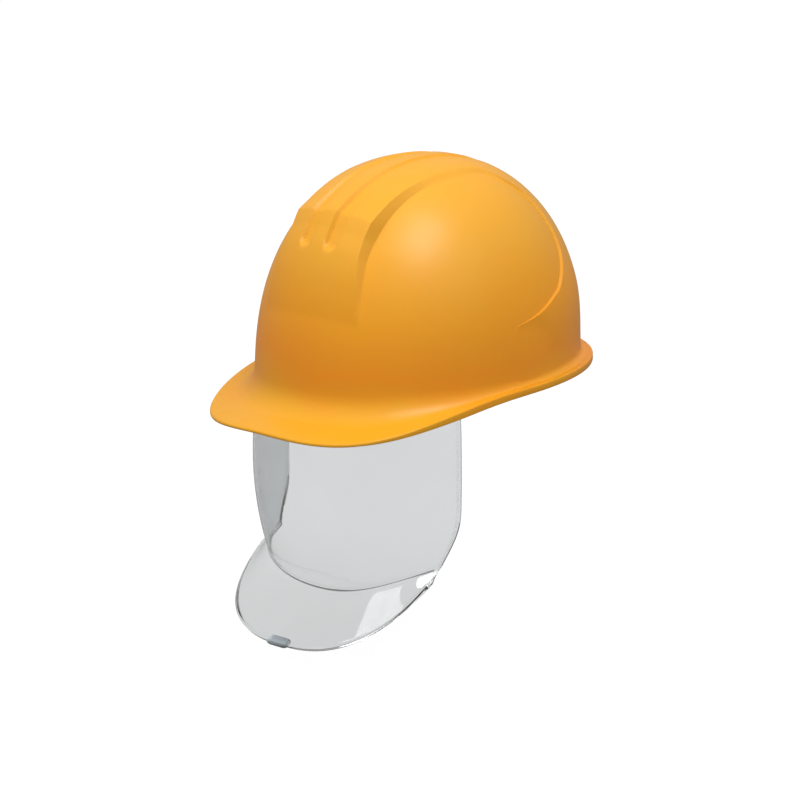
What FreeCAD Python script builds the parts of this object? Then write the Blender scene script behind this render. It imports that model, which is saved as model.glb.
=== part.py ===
import FreeCAD, Part
import math
import os
import Sketcher

# Safety helmet with a face shield that slides up between the shell and the harness.
# Millimetres. +Z is up, the peak points to -Y and the wearer's left is +X.
# The origin is the centre of the head opening, level with the rim at the sides.

V = FreeCAD.Vector
Z_AXIS = V(0, 0, 1)
X_AXIS = V(1, 0, 0)
Y_AXIS = V(0, 1, 0)

doc = FreeCAD.newDocument("safety_helmet")
sheet = doc.addObject("Spreadsheet::Sheet", "dimensions")

DIMENSIONS = {
    # shell
    "dome_half_width": 104.0, "dome_front": 118.0, "dome_rear": 119.0, "dome_height": 148.0,
    "crown_lean": 5.0, "wall": 2.3, "brim": 2.3, "rim_half_width": 111.0, "peak_reach": 154.0,
    "rear_reach": 124.5, "rim_level": 1.7, "rim_tilt": 0.05, "peak_droop": 14.4,
    "droop_start": 12.5, "droop_camber": 1.36, "brim_blend": 6.0, "rear_lip": 5.0,
    "crown_half_width": 33.5, "crown_front": 76.0, "crown_rise": 2.0,
    "rib_groove_offset": 13.0, "rib_groove_width": 7.0, "rib_groove_depth": 1.2,
    # face shield: a sheet turned about the transverse guide axis
    "guide_y": 97.0, "guide_z": -58.0, "lens_half_width": 89.5, "lens_depth": 98.0,
    "lens_start_y": -20.0, "lens_sheet": 1.6, "lens_top": 8.0, "lens_rear_y": -45.0,
    "crease_drop": 141.0, "crease_rise": 20.2, "chin_half_width": 84.0, "chin_depth": 89.5,
    "chin_start_y": -65.0, "chin_start_z": -122.0, "chin_slope": 36.4,
    # guide rails, arms and sliders
    "rail_radius": 150.0, "rail_width": 12.0, "rail_inner_x": 80.5, "rail_sheet": 2.0,
    "slot_width": 4.3, "slider_diameter": 4.0, "slider_head": 7.0, "arm_inner_x": 82.8,
    "arm_sheet": 1.2, "slider_low": 21.0, "slider_high": 29.0, "rail_start": 17.0,
    "rail_end": 66.5, "shield_travel": 31.0, "screw_diameter": 3.0,
    # harness
    "band_half_width": 77.0, "band_front": 96.0, "band_sheet": 1.5, "band_low": -12.0,
    "band_high": 12.0, "ring_half_width": 80.0, "ring_front": 99.5, "ring_rear": 100.0,
    "ring_sheet": 2.2, "ring_low": 10.0, "ring_high": 16.0, "strap_width": 20.0,
    "strap_sheet": 1.2, "strap_top": 102.0, "strap_front": 91.0, "strap_side": 75.0,
    "liner_sheet": 10.0, "liner_low": 92.0, "pad_sheet": 3.5, "crown_pad_diameter": 40.0,
    # nape adjuster, laid out round an upright arc behind the head
    "nape_y": 22.0, "nape_z": -8.0, "rack_radius": 77.6, "rack_sheet": 1.2, "rack_gap": 0.3,
    "rack_height": 16.0, "gear_module": 0.8, "gear_teeth": 12.0, "rack_travel": 12.0,
    "housing_wall": 1.2, "housing_half_angle": 29.5, "knob_diameter": 28.0, "knob_depth": 8.5,
    "knob_grips": 14.0, "knob_face": 104.3, "shaft_diameter": 4.8,
}
for row, (alias, value) in enumerate(DIMENSIONS.items(), start=1):
    sheet.set("A%d" % row, alias)
    sheet.set("B%d" % row, str(value))
    sheet.setAlias("B%d" % row, alias)
doc.recompute()


def size(alias):
    """A driving dimension, read from the sheet."""
    return float(getattr(sheet, alias))


GUIDE_Y, GUIDE_Z = size("guide_y"), size("guide_z")


# ---------------------------------------------------------------- general helpers

def power(value, exponent):
    """Signed power, for superellipses."""
    return math.copysign(abs(value) ** exponent, value)


def ring_angles(count):
    return [2 * math.pi * step / count for step in range(count)]


def closed_curve(points):
    """Periodic spline through the points, evenly parametrised so that rows match."""
    curve = Part.BSplineCurve()
    parameters = [step / len(points) for step in range(len(points) + 1)]
    curve.interpolate(Points=points, PeriodicFlag=True, Parameters=parameters)
    return Part.Wire([curve.toShape()])


def open_curve(points):
    curve = Part.BSplineCurve()
    curve.interpolate(Points=points)
    return curve.toShape()


def sewn_solid(faces):
    shell = Part.makeShell(faces)
    shell.sewShape()
    solid = Part.makeSolid(shell)
    if solid.Volume < 0:
        solid.reverse()
    return solid


def add_shape(label, shape):
    """A sub-part whose shape comes from Part's own functions."""
    part = doc.addObject("Part::Feature", label)
    part.Label = label
    part.Shape = shape
    part.Placement = shape.Placement
    return part


def finish(part, label):
    part.Label = label
    return part


def arc_band(inner, outer, low, high, start, end, centre=V(0, 0, 0)):
    """Upright wall between two radii, from one angle to another (degrees from +Y towards +X)."""
    turn = end - start
    band = Part.makeCylinder(outer, high - low, V(0, 0, low), Z_AXIS, turn)
    band = band.cut(Part.makeCylinder(inner, high - low, V(0, 0, low), Z_AXIS, turn))
    band.rotate(V(0, 0, 0), Z_AXIS, 90 - end)
    band.translate(centre)
    return band


def prism(points, direction):
    return Part.Face(Part.makePolygon(points + [points[0]])).extrude(direction)


def guide_point(x, radius, angle):
    """Point on an arc about the shield's guide axis; the angle rises from level, at the front."""
    return V(x, GUIDE_Y - radius * math.cos(math.radians(angle)),
             GUIDE_Z + radius * math.sin(math.radians(angle)))


def guide_sector(x, thickness, inner, outer, start, end):
    """Flat plate across X, between two radii and two angles about the guide axis."""
    middle = (start + end) / 2
    rim = Part.Arc(guide_point(x, outer, start), guide_point(x, outer, middle),
                   guide_point(x, outer, end)).toShape()
    root = Part.Arc(guide_point(x, inner, end), guide_point(x, inner, middle),
                    guide_point(x, inner, start)).toShape()
    sides = [Part.makeLine(guide_point(x, outer, end), guide_point(x, inner, end)),
             Part.makeLine(guide_point(x, inner, start), guide_point(x, outer, start))]
    return Part.Face(Part.Wire([rim, sides[0], root, sides[1]])).extrude(V(thickness, 0, 0))


def mirrored(shape):
    return shape.mirror(V(0, 0, 0), X_AXIS)


# ---------------------------------------------------------------- shell

DOME_PLAN = 2.17            # superellipse power of the dome's plan
DOME_PROFILE_UP = 2.37      # powers of its upright profile
DOME_PROFILE_OUT = 2.15
PEAK_PLAN, REAR_PLAN = 2.6, 2.31
SHELL_STATIONS = 40
DOME_LEVELS = (0.16, 0.30, 0.44, 0.57, 0.69, 0.79, 0.87, 0.93, 0.97, 0.99, 0.999)


def dome_point(angle, z, offset=0.0):
    """Point of the dome at a plan angle and height, moved outward by offset."""
    height = size("dome_height") + offset
    level = max(z, 0.0) / height
    shrink = max(1 - level ** DOME_PROFILE_UP, 0.0) ** (1 / DOME_PROFILE_OUT)
    reach = size("dome_front") if math.sin(angle) < 0 else size("dome_rear")
    x = (size("dome_half_width") + offset) * shrink * power(math.cos(angle), 2 / DOME_PLAN)
    y = (reach + offset) * shrink * power(math.sin(angle), 2 / DOME_PLAN)
    return V(x, y + size("crown_lean") * level, z)


def rim_point(angle):
    """Plan of the brim's outer edge."""
    front = math.sin(angle) < 0
    plan = PEAK_PLAN if front else REAR_PLAN
    reach = size("peak_reach") if front else size("rear_reach")
    return V(size("rim_half_width") * power(math.cos(angle), 2 / plan),
             reach * power(math.sin(angle), 2 / plan), 0)


def rim_height(x, y):
    """Height of the brim's upper face: it rises to the rear and droops at the peak."""
    reach = min(max(-(y + size("droop_start")), 0.0) / (size("peak_reach") - size("droop_start")), 1.0)
    camber = 1 + size("droop_camber") * (x / size("rim_half_width")) ** 2
    return size("rim_level") + size("rim_tilt") * y - size("peak_droop") * reach ** 2 * camber


def outward(angle, distance, drop=0.0, rise=0.0):
    """Point on the brim, a distance out from the dome's foot, with rise above its top face."""
    base, rim = dome_point(angle, 0), rim_point(angle)
    step = rim.sub(base)
    place = base.add(step.multiply(distance / step.Length))
    return V(place.x, place.y, rim_height(place.x, place.y) - drop + rise)


def flange(angle):
    return rim_point(angle).sub(dome_point(angle, 0)).Length


def blend(angle):
    return min(size("brim_blend"), 0.5 * flange(angle))


def lip(angle):
    """Depth of the turned-down lip: thin at the peak, deeper round the sides and rear."""
    forward = min(max(-math.sin(angle) * 1.6, 0.0), 1.0)
    return size("rear_lip") + (size("brim") - size("rear_lip")) * forward


def dome_rows(offset):
    """Planar rows of the dome from above the brim to its small top cap."""
    height = size("dome_height") + offset
    return [[dome_point(a, level * height, offset) for a in ring_angles(SHELL_STATIONS)]
            for level in DOME_LEVELS]


def skirt_rows(offset, drop):
    """Rows of the quarter-round blend between the brim and the dome's wall."""
    rows = []
    for turn in (0, 30, 60, 90):
        row = []
        for a in ring_angles(SHELL_STATIONS):
            radius = blend(a) - offset
            out = offset + radius * (1 - math.sin(math.radians(turn)))
            up = radius * (1 - math.cos(math.radians(turn)))
            row.append(outward(a, out, drop, up))
        rows.append(row)
    return rows


def loft_faces(rows):
    """Side faces of a loft through closed rows, with its last row capped."""
    wires = [closed_curve(row) for row in rows]
    sides = [face for face in Part.makeLoft(wires, False, False).Faces]
    return sides + [Part.Face(wires[-1])], wires


def shell_solid():
    outer_faces, outer_wires = loft_faces(skirt_rows(0.0, 0.0) + dome_rows(0.0))
    inner_rows = skirt_rows(-size("wall"), size("brim")) + dome_rows(-size("wall"))
    inner_faces, inner_wires = loft_faces(inner_rows)
    edge_top = closed_curve([outward(a, flange(a)) for a in ring_angles(SHELL_STATIONS)])
    edge_low = closed_curve([outward(a, flange(a), lip(a)) for a in ring_angles(SHELL_STATIONS)])
    ruled = [Part.makeRuledSurface(first.Edges[0], second.Edges[0])
             for first, second in ((outer_wires[0], edge_top), (edge_top, edge_low),
                                   (edge_low, inner_wires[0]))]
    return sewn_solid(outer_faces + inner_faces + ruled)


def dome_cap(offset, low):
    """Closed solid of the dome, moved outward by offset, from a level up."""
    height = size("dome_height") + offset
    levels = [low / height] + [level for level in DOME_LEVELS if level > low / height + 0.05]
    wires = [closed_curve([dome_point(a, level * height, offset)
                           for a in ring_angles(SHELL_STATIONS)]) for level in levels]
    return Part.makeLoft(wires, True, False)


def oriented_box(foot, ahead, inward, width, start, end, low, high):
    """Box from start to end along inward, width along ahead, between two heights."""
    corners = []
    for side, reach in ((-0.5, start), (0.5, start), (0.5, end), (-0.5, end)):
        place = V(foot).add(V(ahead).multiply(side * width)).add(V(inward).multiply(reach))
        corners.append(V(place.x, place.y, low))
    return prism(corners, V(0, 0, high - low))


HANGERS = {
    "hanger_left": math.radians(11), "hanger_right": math.radians(169),
    "hanger_rear_left": math.radians(56), "hanger_rear_right": math.radians(124),
}
HANGER_WIDTH, TONGUE = 11.0, 1.8
SOCKET_LOW, SOCKET_HIGH, SOCKET_DEPTH = 13.0, 30.0, 5.2
SOCKET_BITE = 1.2           # how far a socket is rooted in the wall
TONGUE_START = 1.4          # clear space between wall and tongue
RUNNING_GAP = 0.15


def hanger_frame(angle):
    foot = dome_point(angle, 0, -size("wall"))
    ahead = dome_point(angle + 0.02, 0, -size("wall")).sub(foot).normalize()
    inward = V(-ahead.y, ahead.x, 0)
    if inward.dot(foot) > 0:
        inward.multiply(-1)
    return foot, ahead, inward


shell = shell_solid()
crown = dome_cap(size("crown_rise"), 60.0)
crown_block = Part.makeBox(2 * size("crown_half_width"), 190, 110,
                           V(-size("crown_half_width"), -size("crown_front"), 62))
crown = crown.common(crown_block).cut(dome_cap(-0.6 * size("wall"), 55.0))
shell = shell.fuse(crown)
for side in (-1, 1):
    groove_box = Part.makeBox(size("rib_groove_width"), 150, 90,
                              V(side * size("rib_groove_offset") - size("rib_groove_width") / 2,
                                -size("crown_front") - 4, 84))
    groove_floor = dome_cap(size("crown_rise") - size("rib_groove_depth"), 60.0)
    shell = shell.cut(groove_box.cut(groove_floor))
for angle in HANGERS.values():
    foot, ahead, inward = hanger_frame(angle)
    block = oriented_box(foot, ahead, inward, HANGER_WIDTH + 4, -SOCKET_BITE, SOCKET_DEPTH,
                         SOCKET_LOW, SOCKET_HIGH)
    slot = oriented_box(foot, ahead, inward, HANGER_WIDTH + 2 * RUNNING_GAP,
                        TONGUE_START - RUNNING_GAP, TONGUE_START + TONGUE + RUNNING_GAP,
                        SOCKET_LOW - 1, SOCKET_HIGH - 2)
    shell = shell.fuse(block).cut(slot)
add_shape("shell", shell)

liner_gap = 0.5
liner = dome_cap(-size("wall") - liner_gap, size("liner_low"))
liner_core = dome_cap(-size("wall") - liner_gap - size("liner_sheet"), size("liner_low") - 6)
add_shape("impact_liner", liner.cut(liner_core))


# ---------------------------------------------------------------- face shield

LENS_PLAN, CHIN_PLAN = 2.65, 2.5
LENS_STATIONS = 10          # each side of the middle
CHIN_BEGINS = math.radians(21.6)
LENS_CORNER_Z = -94.0       # foot of the straight rear edge
LENS_FIRST = math.radians(3.0)
LENS_TURN_DOWN, LENS_TURN_UP = 40, 40
CREASE_SPAN = 81.0
FLARE_ROOT = 0.9            # how far the flare is rooted above the crease
FLARE_MIDDLE_Y = -20.0


def lens_plan(angle, inset):
    """x and turning radius of the lens at a plan angle, moved inward by inset."""
    a, b = size("lens_half_width") - inset, size("lens_depth") - inset
    x = a * power(math.cos(angle), 2 / LENS_PLAN)
    return x, GUIDE_Y - (size("lens_start_y") - b * power(math.sin(angle), 2 / LENS_PLAN))


def lens_point(angle, z, inset=0.0):
    x, radius = lens_plan(angle, inset)
    return V(x, GUIDE_Y - math.sqrt(radius ** 2 - (z - GUIDE_Z) ** 2), z)


def chin_edge(angle):
    """Free edge of the flared chin part: a superellipse on a plane that slopes forward and down."""
    mirror = angle > math.pi / 2
    local = math.pi - angle if mirror else angle
    turn = max((local - CHIN_BEGINS) / (math.pi / 2 - CHIN_BEGINS), 0.0) * math.pi / 2
    x = size("chin_half_width") * power(math.cos(turn), 2 / CHIN_PLAN)
    along = size("chin_depth") * power(math.sin(turn), 2 / CHIN_PLAN)
    slope = math.radians(size("chin_slope"))
    return V(-x if mirror else x, size("chin_start_y") - along * math.cos(slope),
             size("chin_start_z") - along * math.sin(slope))


def lens_wall():
    """Curved wall: its plan outline turned about the guide axis, then trimmed to its edges."""
    outlines = []
    for inset in (0.0, size("lens_sheet")):
        angles = [LENS_FIRST + (math.pi - 2 * LENS_FIRST) * step / 40 for step in range(41)]
        plan = [lens_plan(angle, inset) for angle in angles]
        outlines.append([V(x, GUIDE_Y - radius, GUIDE_Z) for x, radius in plan])
    outer, inner = outlines
    wire = Part.Wire([open_curve(outer), Part.makeLine(outer[-1], inner[-1]),
                      open_curve(list(reversed(inner))), Part.makeLine(inner[0], outer[0])])
    axis = V(0, GUIDE_Y, GUIDE_Z)
    wall = Part.Face(wire)
    wall.rotate(axis, X_AXIS, LENS_TURN_DOWN)
    wall = wall.revolve(axis, V(-1, 0, 0), LENS_TURN_DOWN + LENS_TURN_UP)
    half = size("lens_half_width") + 10
    wall = wall.cut(Part.makeBox(2 * half, 300, 300, V(-half, size("lens_rear_y"), -200)))
    wall = wall.cut(Part.makeBox(2 * half, 300, 100, V(-half, -200, size("lens_top"))))
    corner = lens_plan(CHIN_BEGINS, 0)[0]
    crease = [V(x, -200, -size("crease_drop") + size("crease_rise") * (x / CREASE_SPAN) ** 2)
              for x in (corner * step / 6 for step in range(-6, 7))]
    left = [V(half, -200, LENS_CORNER_Z), V(half, -200, -300)]
    right = [V(-half, -200, -300), V(-half, -200, LENS_CORNER_Z)]
    below = Part.Wire([open_curve(crease), Part.makeLine(crease[-1], left[0]),
                       Part.makeLine(left[0], left[1]), Part.makeLine(left[1], right[0]),
                       Part.makeLine(right[0], right[1]), Part.makeLine(right[1], crease[0])])
    return wall.cut(Part.Face(below).extrude(V(0, 220, 0)))


def crease_point(angle, rise=0.0, inset=0.0):
    x = lens_plan(angle, 0)[0]
    crease = -size("crease_drop") + size("crease_rise") * (x / CREASE_SPAN) ** 2
    return lens_point(angle, crease + rise, inset)


def flare_section(angle):
    """Outline of the flared sheet at one plan angle, rooted in the wall at the crease."""
    root, edge = crease_point(angle, FLARE_ROOT, 0.3), chin_edge(angle)
    along = crease_point(angle + 0.01).sub(crease_point(angle - 0.01))
    inward = edge.sub(root).cross(along).normalize()
    if inward.dot(V(0, FLARE_MIDDLE_Y, root.z).sub(root)) < 0:
        inward.multiply(-1)
    corners = [root, edge, edge.add(V(inward).multiply(size("lens_sheet"))),
               root.add(V(inward).multiply(size("lens_sheet") - 0.4))]
    return Part.makePolygon(corners + corners[:1])


flare_angles = [CHIN_BEGINS + (math.pi - 2 * CHIN_BEGINS) * step / (2 * LENS_STATIONS)
                for step in range(2 * LENS_STATIONS + 1)]
flare = Part.makeLoft([flare_section(angle) for angle in flare_angles], True, False)
lens = lens_wall().fuse(flare)

RIVET_Y, RIVET_Z = -48.0, (-11.0, -2.0)
RIVET_RADIUS, RIVET_SEAT = 1.5, 88.0
rivet_holes = [Part.makeCylinder(RIVET_RADIUS, 30, V(side * 75 if side > 0 else -105, RIVET_Y, z),
                                 X_AXIS) for side in (-1, 1) for z in RIVET_Z]
lens = lens.cut(Part.Compound(rivet_holes))
add_shape("face_shield", lens)

tip = chin_edge(math.pi / 2)
tab = Part.makeBox(20, 7, 2.4, V(-10, -7, -1.2))
tab = tab.makeFillet(1.0, [edge for edge in tab.Edges if abs(edge.Length - 2.4) < 1e-6])
tab.rotate(V(0, 0, 0), X_AXIS, 40)
tab.translate(tip.add(V(0, -0.4, -0.5)))
add_shape("grip_tab", tab)

arm_x, arm_end = size("arm_inner_x"), size("arm_inner_x") + size("arm_sheet")
rail_r, half_rail = size("rail_radius"), size("rail_width") / 2
arm = guide_sector(arm_x, size("arm_sheet"), rail_r - 5, rail_r + 5,
                   size("slider_low") - 4, size("slider_high") + 2.5)
arm = arm.fuse(Part.makeBox(size("arm_sheet"), 12, 16, V(arm_x, -50.5, -14.5)))
pin_r, head_r = size("slider_diameter") / 2, size("slider_head") / 2
SLIDER_HEAD_SHEET = 1.4
for angle in (size("slider_low"), size("slider_high")):
    arm = arm.cut(Part.makeCylinder(pin_r, 20, guide_point(75, rail_r, angle), X_AXIS))
for z in RIVET_Z:
    arm = arm.cut(Part.makeCylinder(RIVET_RADIUS, 30, V(75, RIVET_Y, z), X_AXIS))
sliders = []
for angle in (size("slider_low"), size("slider_high")):
    shank = Part.makeCylinder(pin_r, arm_end - size("rail_inner_x") + 0.4,
                              guide_point(size("rail_inner_x") - 0.4, rail_r, angle), X_AXIS)
    head = Part.makeCylinder(head_r, SLIDER_HEAD_SHEET,
                             guide_point(size("rail_inner_x") - 0.3 - SLIDER_HEAD_SHEET,
                                         rail_r, angle), X_AXIS)
    sliders.append(shank.fuse(head))
RIVET_HEAD_SHEET = 0.8
rivets = []
for z in RIVET_Z:
    shank = Part.makeCylinder(RIVET_RADIUS, RIVET_SEAT - arm_x, V(arm_x, RIVET_Y, z), X_AXIS)
    outer_head = Part.makeCylinder(2.6, RIVET_HEAD_SHEET, V(RIVET_SEAT, RIVET_Y, z), X_AXIS)
    rivets.append(shank.fuse(outer_head))
add_shape("shield_arm_left", arm)
add_shape("shield_arm_right", mirrored(arm))
add_shape("sliders_left", Part.Compound(sliders))
add_shape("sliders_right", Part.Compound([mirrored(one) for one in sliders]))
add_shape("shield_rivets", Part.Compound(rivets + [mirrored(one) for one in rivets]))

# guide rails: a slotted arc with a web down to its seat on the harness ring
rail_x, rail_sheet = size("rail_inner_x"), size("rail_sheet")
half_slot = size("slot_width") / 2
rail = guide_sector(rail_x, rail_sheet, rail_r - half_rail, rail_r + half_rail,
                    size("rail_start"), size("rail_end"))
web = prism([V(rail_x, -24, 6), V(rail_x, 6, 6), V(rail_x, 6, 57), V(rail_x, -24, 27)],
            V(rail_sheet, 0, 0))
slot_start = size("rail_start") + 1.6
slot_end = size("slider_high") + size("shield_travel") + 1.6
slot = guide_sector(rail_x - 1, rail_sheet + 2, rail_r - half_slot, rail_r + half_slot,
                    slot_start, slot_end)
SCREW_YZ = ((-18.0, 13.0), (0.0, 13.0))
SCREW_REACH = 4.8
rail = rail.fuse(web).cut(slot).removeSplitter()
for y, z in SCREW_YZ:
    rail = rail.cut(Part.makeCylinder(size("screw_diameter") / 2, 20, V(rail_x - 5, y, z), X_AXIS))
add_shape("guide_rail_left", rail)
add_shape("guide_rail_right", mirrored(rail))

stop_low = size("slider_low") - math.degrees((pin_r + 0.4) / rail_r)
stop = guide_sector(rail_x + 0.1, rail_sheet - 0.2, rail_r - half_slot + 0.05,
                    rail_r + half_slot - 0.05, slot_start + 0.02, stop_low)
add_shape("stop_pads", Part.Compound([stop, mirrored(stop)]))

# ---------------------------------------------------------------- harness

BAND_PLAN, RING_PLAN = 2.3, 2.4


def oval(half_width, front, rear, plan, z, count=48):
    """Closed oval wire: superellipse with its own reach to the front and the rear."""
    points = []
    for a in ring_angles(count):
        reach = front if math.sin(a) < 0 else rear
        points.append(V(half_width * power(math.cos(a), 2 / plan),
                        reach * power(math.sin(a), 2 / plan), z))
    return closed_curve(points)


def oval_wall(half_width, front, rear, plan, sheet_size, low, high):
    outer = Part.Face(oval(half_width, front, rear, plan, low)).extrude(V(0, 0, high - low))
    inner = Part.Face(oval(half_width - sheet_size, front - sheet_size, rear - sheet_size, plan,
                           low - 1)).extrude(V(0, 0, high - low + 2))
    return outer.cut(inner)


ring_low, ring_high = size("ring_low"), size("ring_high")
ring = oval_wall(size("ring_half_width"), size("ring_front"), size("ring_rear"), RING_PLAN,
                 size("ring_sheet"), ring_low, ring_high)
seat = Part.makeBox(2.6, 30, 10, V(rail_x - 2.6, -24, 8))
for one in (seat, mirrored(seat)):
    ring = ring.fuse(one)
for side in (-1, 1):
    for y, z in SCREW_YZ:
        start = V(side * (rail_x - 8), y, z)
        ring = ring.cut(Part.makeCylinder(size("screw_diameter") / 2, 12, start, V(side, 0, 0)))
add_shape("harness_ring", ring.removeSplitter())

screws = []
for side in (-1, 1):
    for y, z in SCREW_YZ:
        shank = Part.makeCylinder(size("screw_diameter") / 2, SCREW_REACH,
                                  V(side * (rail_x + rail_sheet), y, z), V(-side, 0, 0))
        head = Part.makeCylinder(2.7, 1.2, V(side * (rail_x + rail_sheet), y, z), V(side, 0, 0))
        screws.append(shank.fuse(head))
add_shape("rail_screws", Part.Compound(screws))

ring_outside = Part.Face(oval(size("ring_half_width"), size("ring_front"), size("ring_rear"),
                              RING_PLAN, 0)).extrude(V(0, 0, 40))
for label, angle in HANGERS.items():
    foot, ahead, inward = hanger_frame(angle)
    tongue_end = TONGUE_START + TONGUE
    arm_block = oriented_box(foot, ahead, inward, HANGER_WIDTH, TONGUE_START, 40, 10.2, 12.6)
    arm_block = arm_block.cut(ring_outside)
    tongue = oriented_box(foot, ahead, inward, HANGER_WIDTH, TONGUE_START, tongue_end, 10.2,
                          SOCKET_HIGH - 2.6)
    add_shape(label, arm_block.fuse(tongue).removeSplitter())

band = oval_wall(size("band_half_width"), size("band_front"), size("band_front"), BAND_PLAN,
                 size("band_sheet"), size("band_low"), size("band_high"))
NAPE = V(0, size("nape_y"), 0)
band_front = band.common(Part.makeBox(200, 200, 60, V(-100, -200 + size("nape_y"), -30)))
side_x = size("band_half_width") * (1 - (size("nape_y") / size("band_front")) ** BAND_PLAN) ** (
    1 / BAND_PLAN)
tails = []
for start, end in ((20, 90), (-90, -20)):
    tails.append(arc_band(side_x - size("band_sheet"), side_x, size("band_low"),
                          size("band_high"), start, end, NAPE))
band = band_front.fuse(tails).removeSplitter()
add_shape("headband", band)

pad = oval_wall(size("band_half_width") - size("band_sheet") - 0.2,
                size("band_front") - size("band_sheet") - 0.2,
                size("band_front") - size("band_sheet") - 0.2, BAND_PLAN, size("pad_sheet"),
                size("band_low") + 1, size("band_high") - 1)
pad = pad.common(prism([V(0, 0, -30), V(-90, -52, -30), V(-90, -120, -30), V(90, -120, -30),
                        V(90, -52, -30)], V(0, 0, 60)))
add_shape("brow_pad", pad)


def bridge(angle, inner_plan, outer_plan, low, high, width):
    """Block in the gap between two ovals, at a plan angle from +X."""
    along = V(math.cos(angle), math.sin(angle), 0)
    block = oriented_box(V(0, 0, 0), V(-along.y, along.x, 0), along, width, 40, 130, low, high)
    inside = Part.Face(oval(*inner_plan, low - 1)).extrude(V(0, 0, high - low + 2))
    outside = Part.Face(oval(*outer_plan, low - 1)).extrude(V(0, 0, high - low + 2))
    return block.common(outside.cut(inside))


band_plan = (size("band_half_width"), size("band_front"), size("band_front"), BAND_PLAN)
ring_inner = (size("ring_half_width") - size("ring_sheet"), size("ring_front") - size("ring_sheet"),
              size("ring_rear") - size("ring_sheet"), RING_PLAN)
clips = [bridge(math.radians(a), band_plan, ring_inner, 5, 15, 12) for a in (-125, -55, 10, 170)]
add_shape("band_clips", Part.Compound(clips))

# crown straps: webbing that arches from the ring over the head and crosses at the top
STRAP_PLAN = 2.2
STRAP_FOOT = 18.0
strap_angles = {"crown_strap_middle": 90, "crown_strap_left": 28, "crown_strap_right": 152}
ring_clips = []
for order, (label, degrees) in enumerate(strap_angles.items()):
    heading = math.radians(degrees)
    along, across = V(math.cos(heading), math.sin(heading), 0), V(-math.sin(heading),
                                                                math.cos(heading), 0)
    reach = 1 / math.sqrt((along.x / size("strap_side")) ** 2
                          + (along.y / size("strap_front")) ** 2)
    top = size("strap_top") + order * (size("strap_sheet") + 0.4)
    grow = order * 0.3
    outline = []
    for offset in (0.0, size("strap_sheet")):
        rise, run = top + offset, reach + grow + offset
        foot = math.asin((STRAP_FOOT / rise) ** (STRAP_PLAN / 2))
        turns = [foot + (math.pi - 2 * foot) * step / 20 for step in range(21)]
        outline.append([V(along).multiply(run * power(math.cos(t), 2 / STRAP_PLAN)).add(
            V(0, 0, rise * power(math.sin(t), 2 / STRAP_PLAN))) for t in turns])
    under, over = outline
    wire = Part.Wire([open_curve(under), Part.makeLine(under[-1], over[-1]),
                      open_curve(list(reversed(over))), Part.makeLine(over[0], under[0])])
    strap = Part.Face(wire).extrude(V(across).multiply(size("strap_width")))
    strap.translate(V(across).multiply(-size("strap_width") / 2))
    add_shape(label, strap)
    for side in (-1, 1):
        outside = Part.Face(oval(size("ring_half_width") - 0.1, size("ring_front") - 0.1,
                                 size("ring_rear") - 0.1, RING_PLAN, 0)).extrude(V(0, 0, 60))
        block = oriented_box(V(0, 0, 0), across, V(along).multiply(side),
                             size("strap_width") + 4, reach - 4, 130, ring_high, ring_high + 7)
        ring_clips.append(block.common(outside).cut(strap))
add_shape("strap_clips", Part.Compound(ring_clips))

pad_disc = doc.addObject("Part::Cylinder", "crown_pad_disc")
pad_disc.setExpression("Radius", "dimensions.crown_pad_diameter / 2")
pad_disc.setExpression("Height", "dimensions.pad_sheet")
pad_disc.setExpression("Placement.Base.z", "dimensions.strap_top - dimensions.pad_sheet - 3.4")
doc.recompute()
crown_pad = doc.addObject("Part::Fillet", "crown_pad")
crown_pad.Base = pad_disc
crown_pad.Edges = [(1, 1.5, 1.5), (3, 1.5, 1.5)]
finish(crown_pad, "crown_pad")


# ---------------------------------------------------------------- nape adjuster

LAYERS = {"nape_strap_left": (1, size("rack_radius")),
          "nape_strap_right": (-1, size("rack_radius") + size("rack_sheet") + size("rack_gap"))}
PITCH = math.pi * size("gear_module")
PITCH_RADIUS = size("gear_module") * size("gear_teeth") / 2
NAPE_Z, RACK_HALF = size("nape_z"), size("rack_height") / 2
ROOT_DEPTH, TOOTH_REACH = 1.0, 0.7          # of the rack's teeth, either side of the pitch line
TOOTH_HALF, TOOTH_LEAN = 0.50, 0.36
RACK_TEETH = 12
STUD_ANGLE, STUD_SLOT = 37.0, 10.9          # degrees from the rear
STRAP_END = 49.0
WINDOW_HALF = 13.9
STRAP_INNER = 18.0


def rack_tooth(middle, radius, hand):
    """One rack tooth: a trapezoid that points at the pinion, through the strap's thickness."""
    root = hand * (PITCH_RADIUS + ROOT_DEPTH + 0.2)
    tip = hand * (PITCH_RADIUS - TOOTH_REACH)
    wide = TOOTH_HALF + TOOTH_LEAN * (ROOT_DEPTH + 0.2)
    narrow = TOOTH_HALF - TOOTH_LEAN * TOOTH_REACH
    face = [V(-wide, 0, root), V(wide, 0, root), V(narrow, 0, tip), V(-narrow, 0, tip)]
    tooth = prism(face, V(0, size("rack_sheet"), 0))
    tooth.translate(V(0, radius, 0))
    tooth.rotate(V(0, 0, 0), Z_AXIS, -math.degrees(middle / (radius + size("rack_sheet") / 2)))
    tooth.translate(V(0, size("nape_y"), NAPE_Z))
    return tooth


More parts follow.
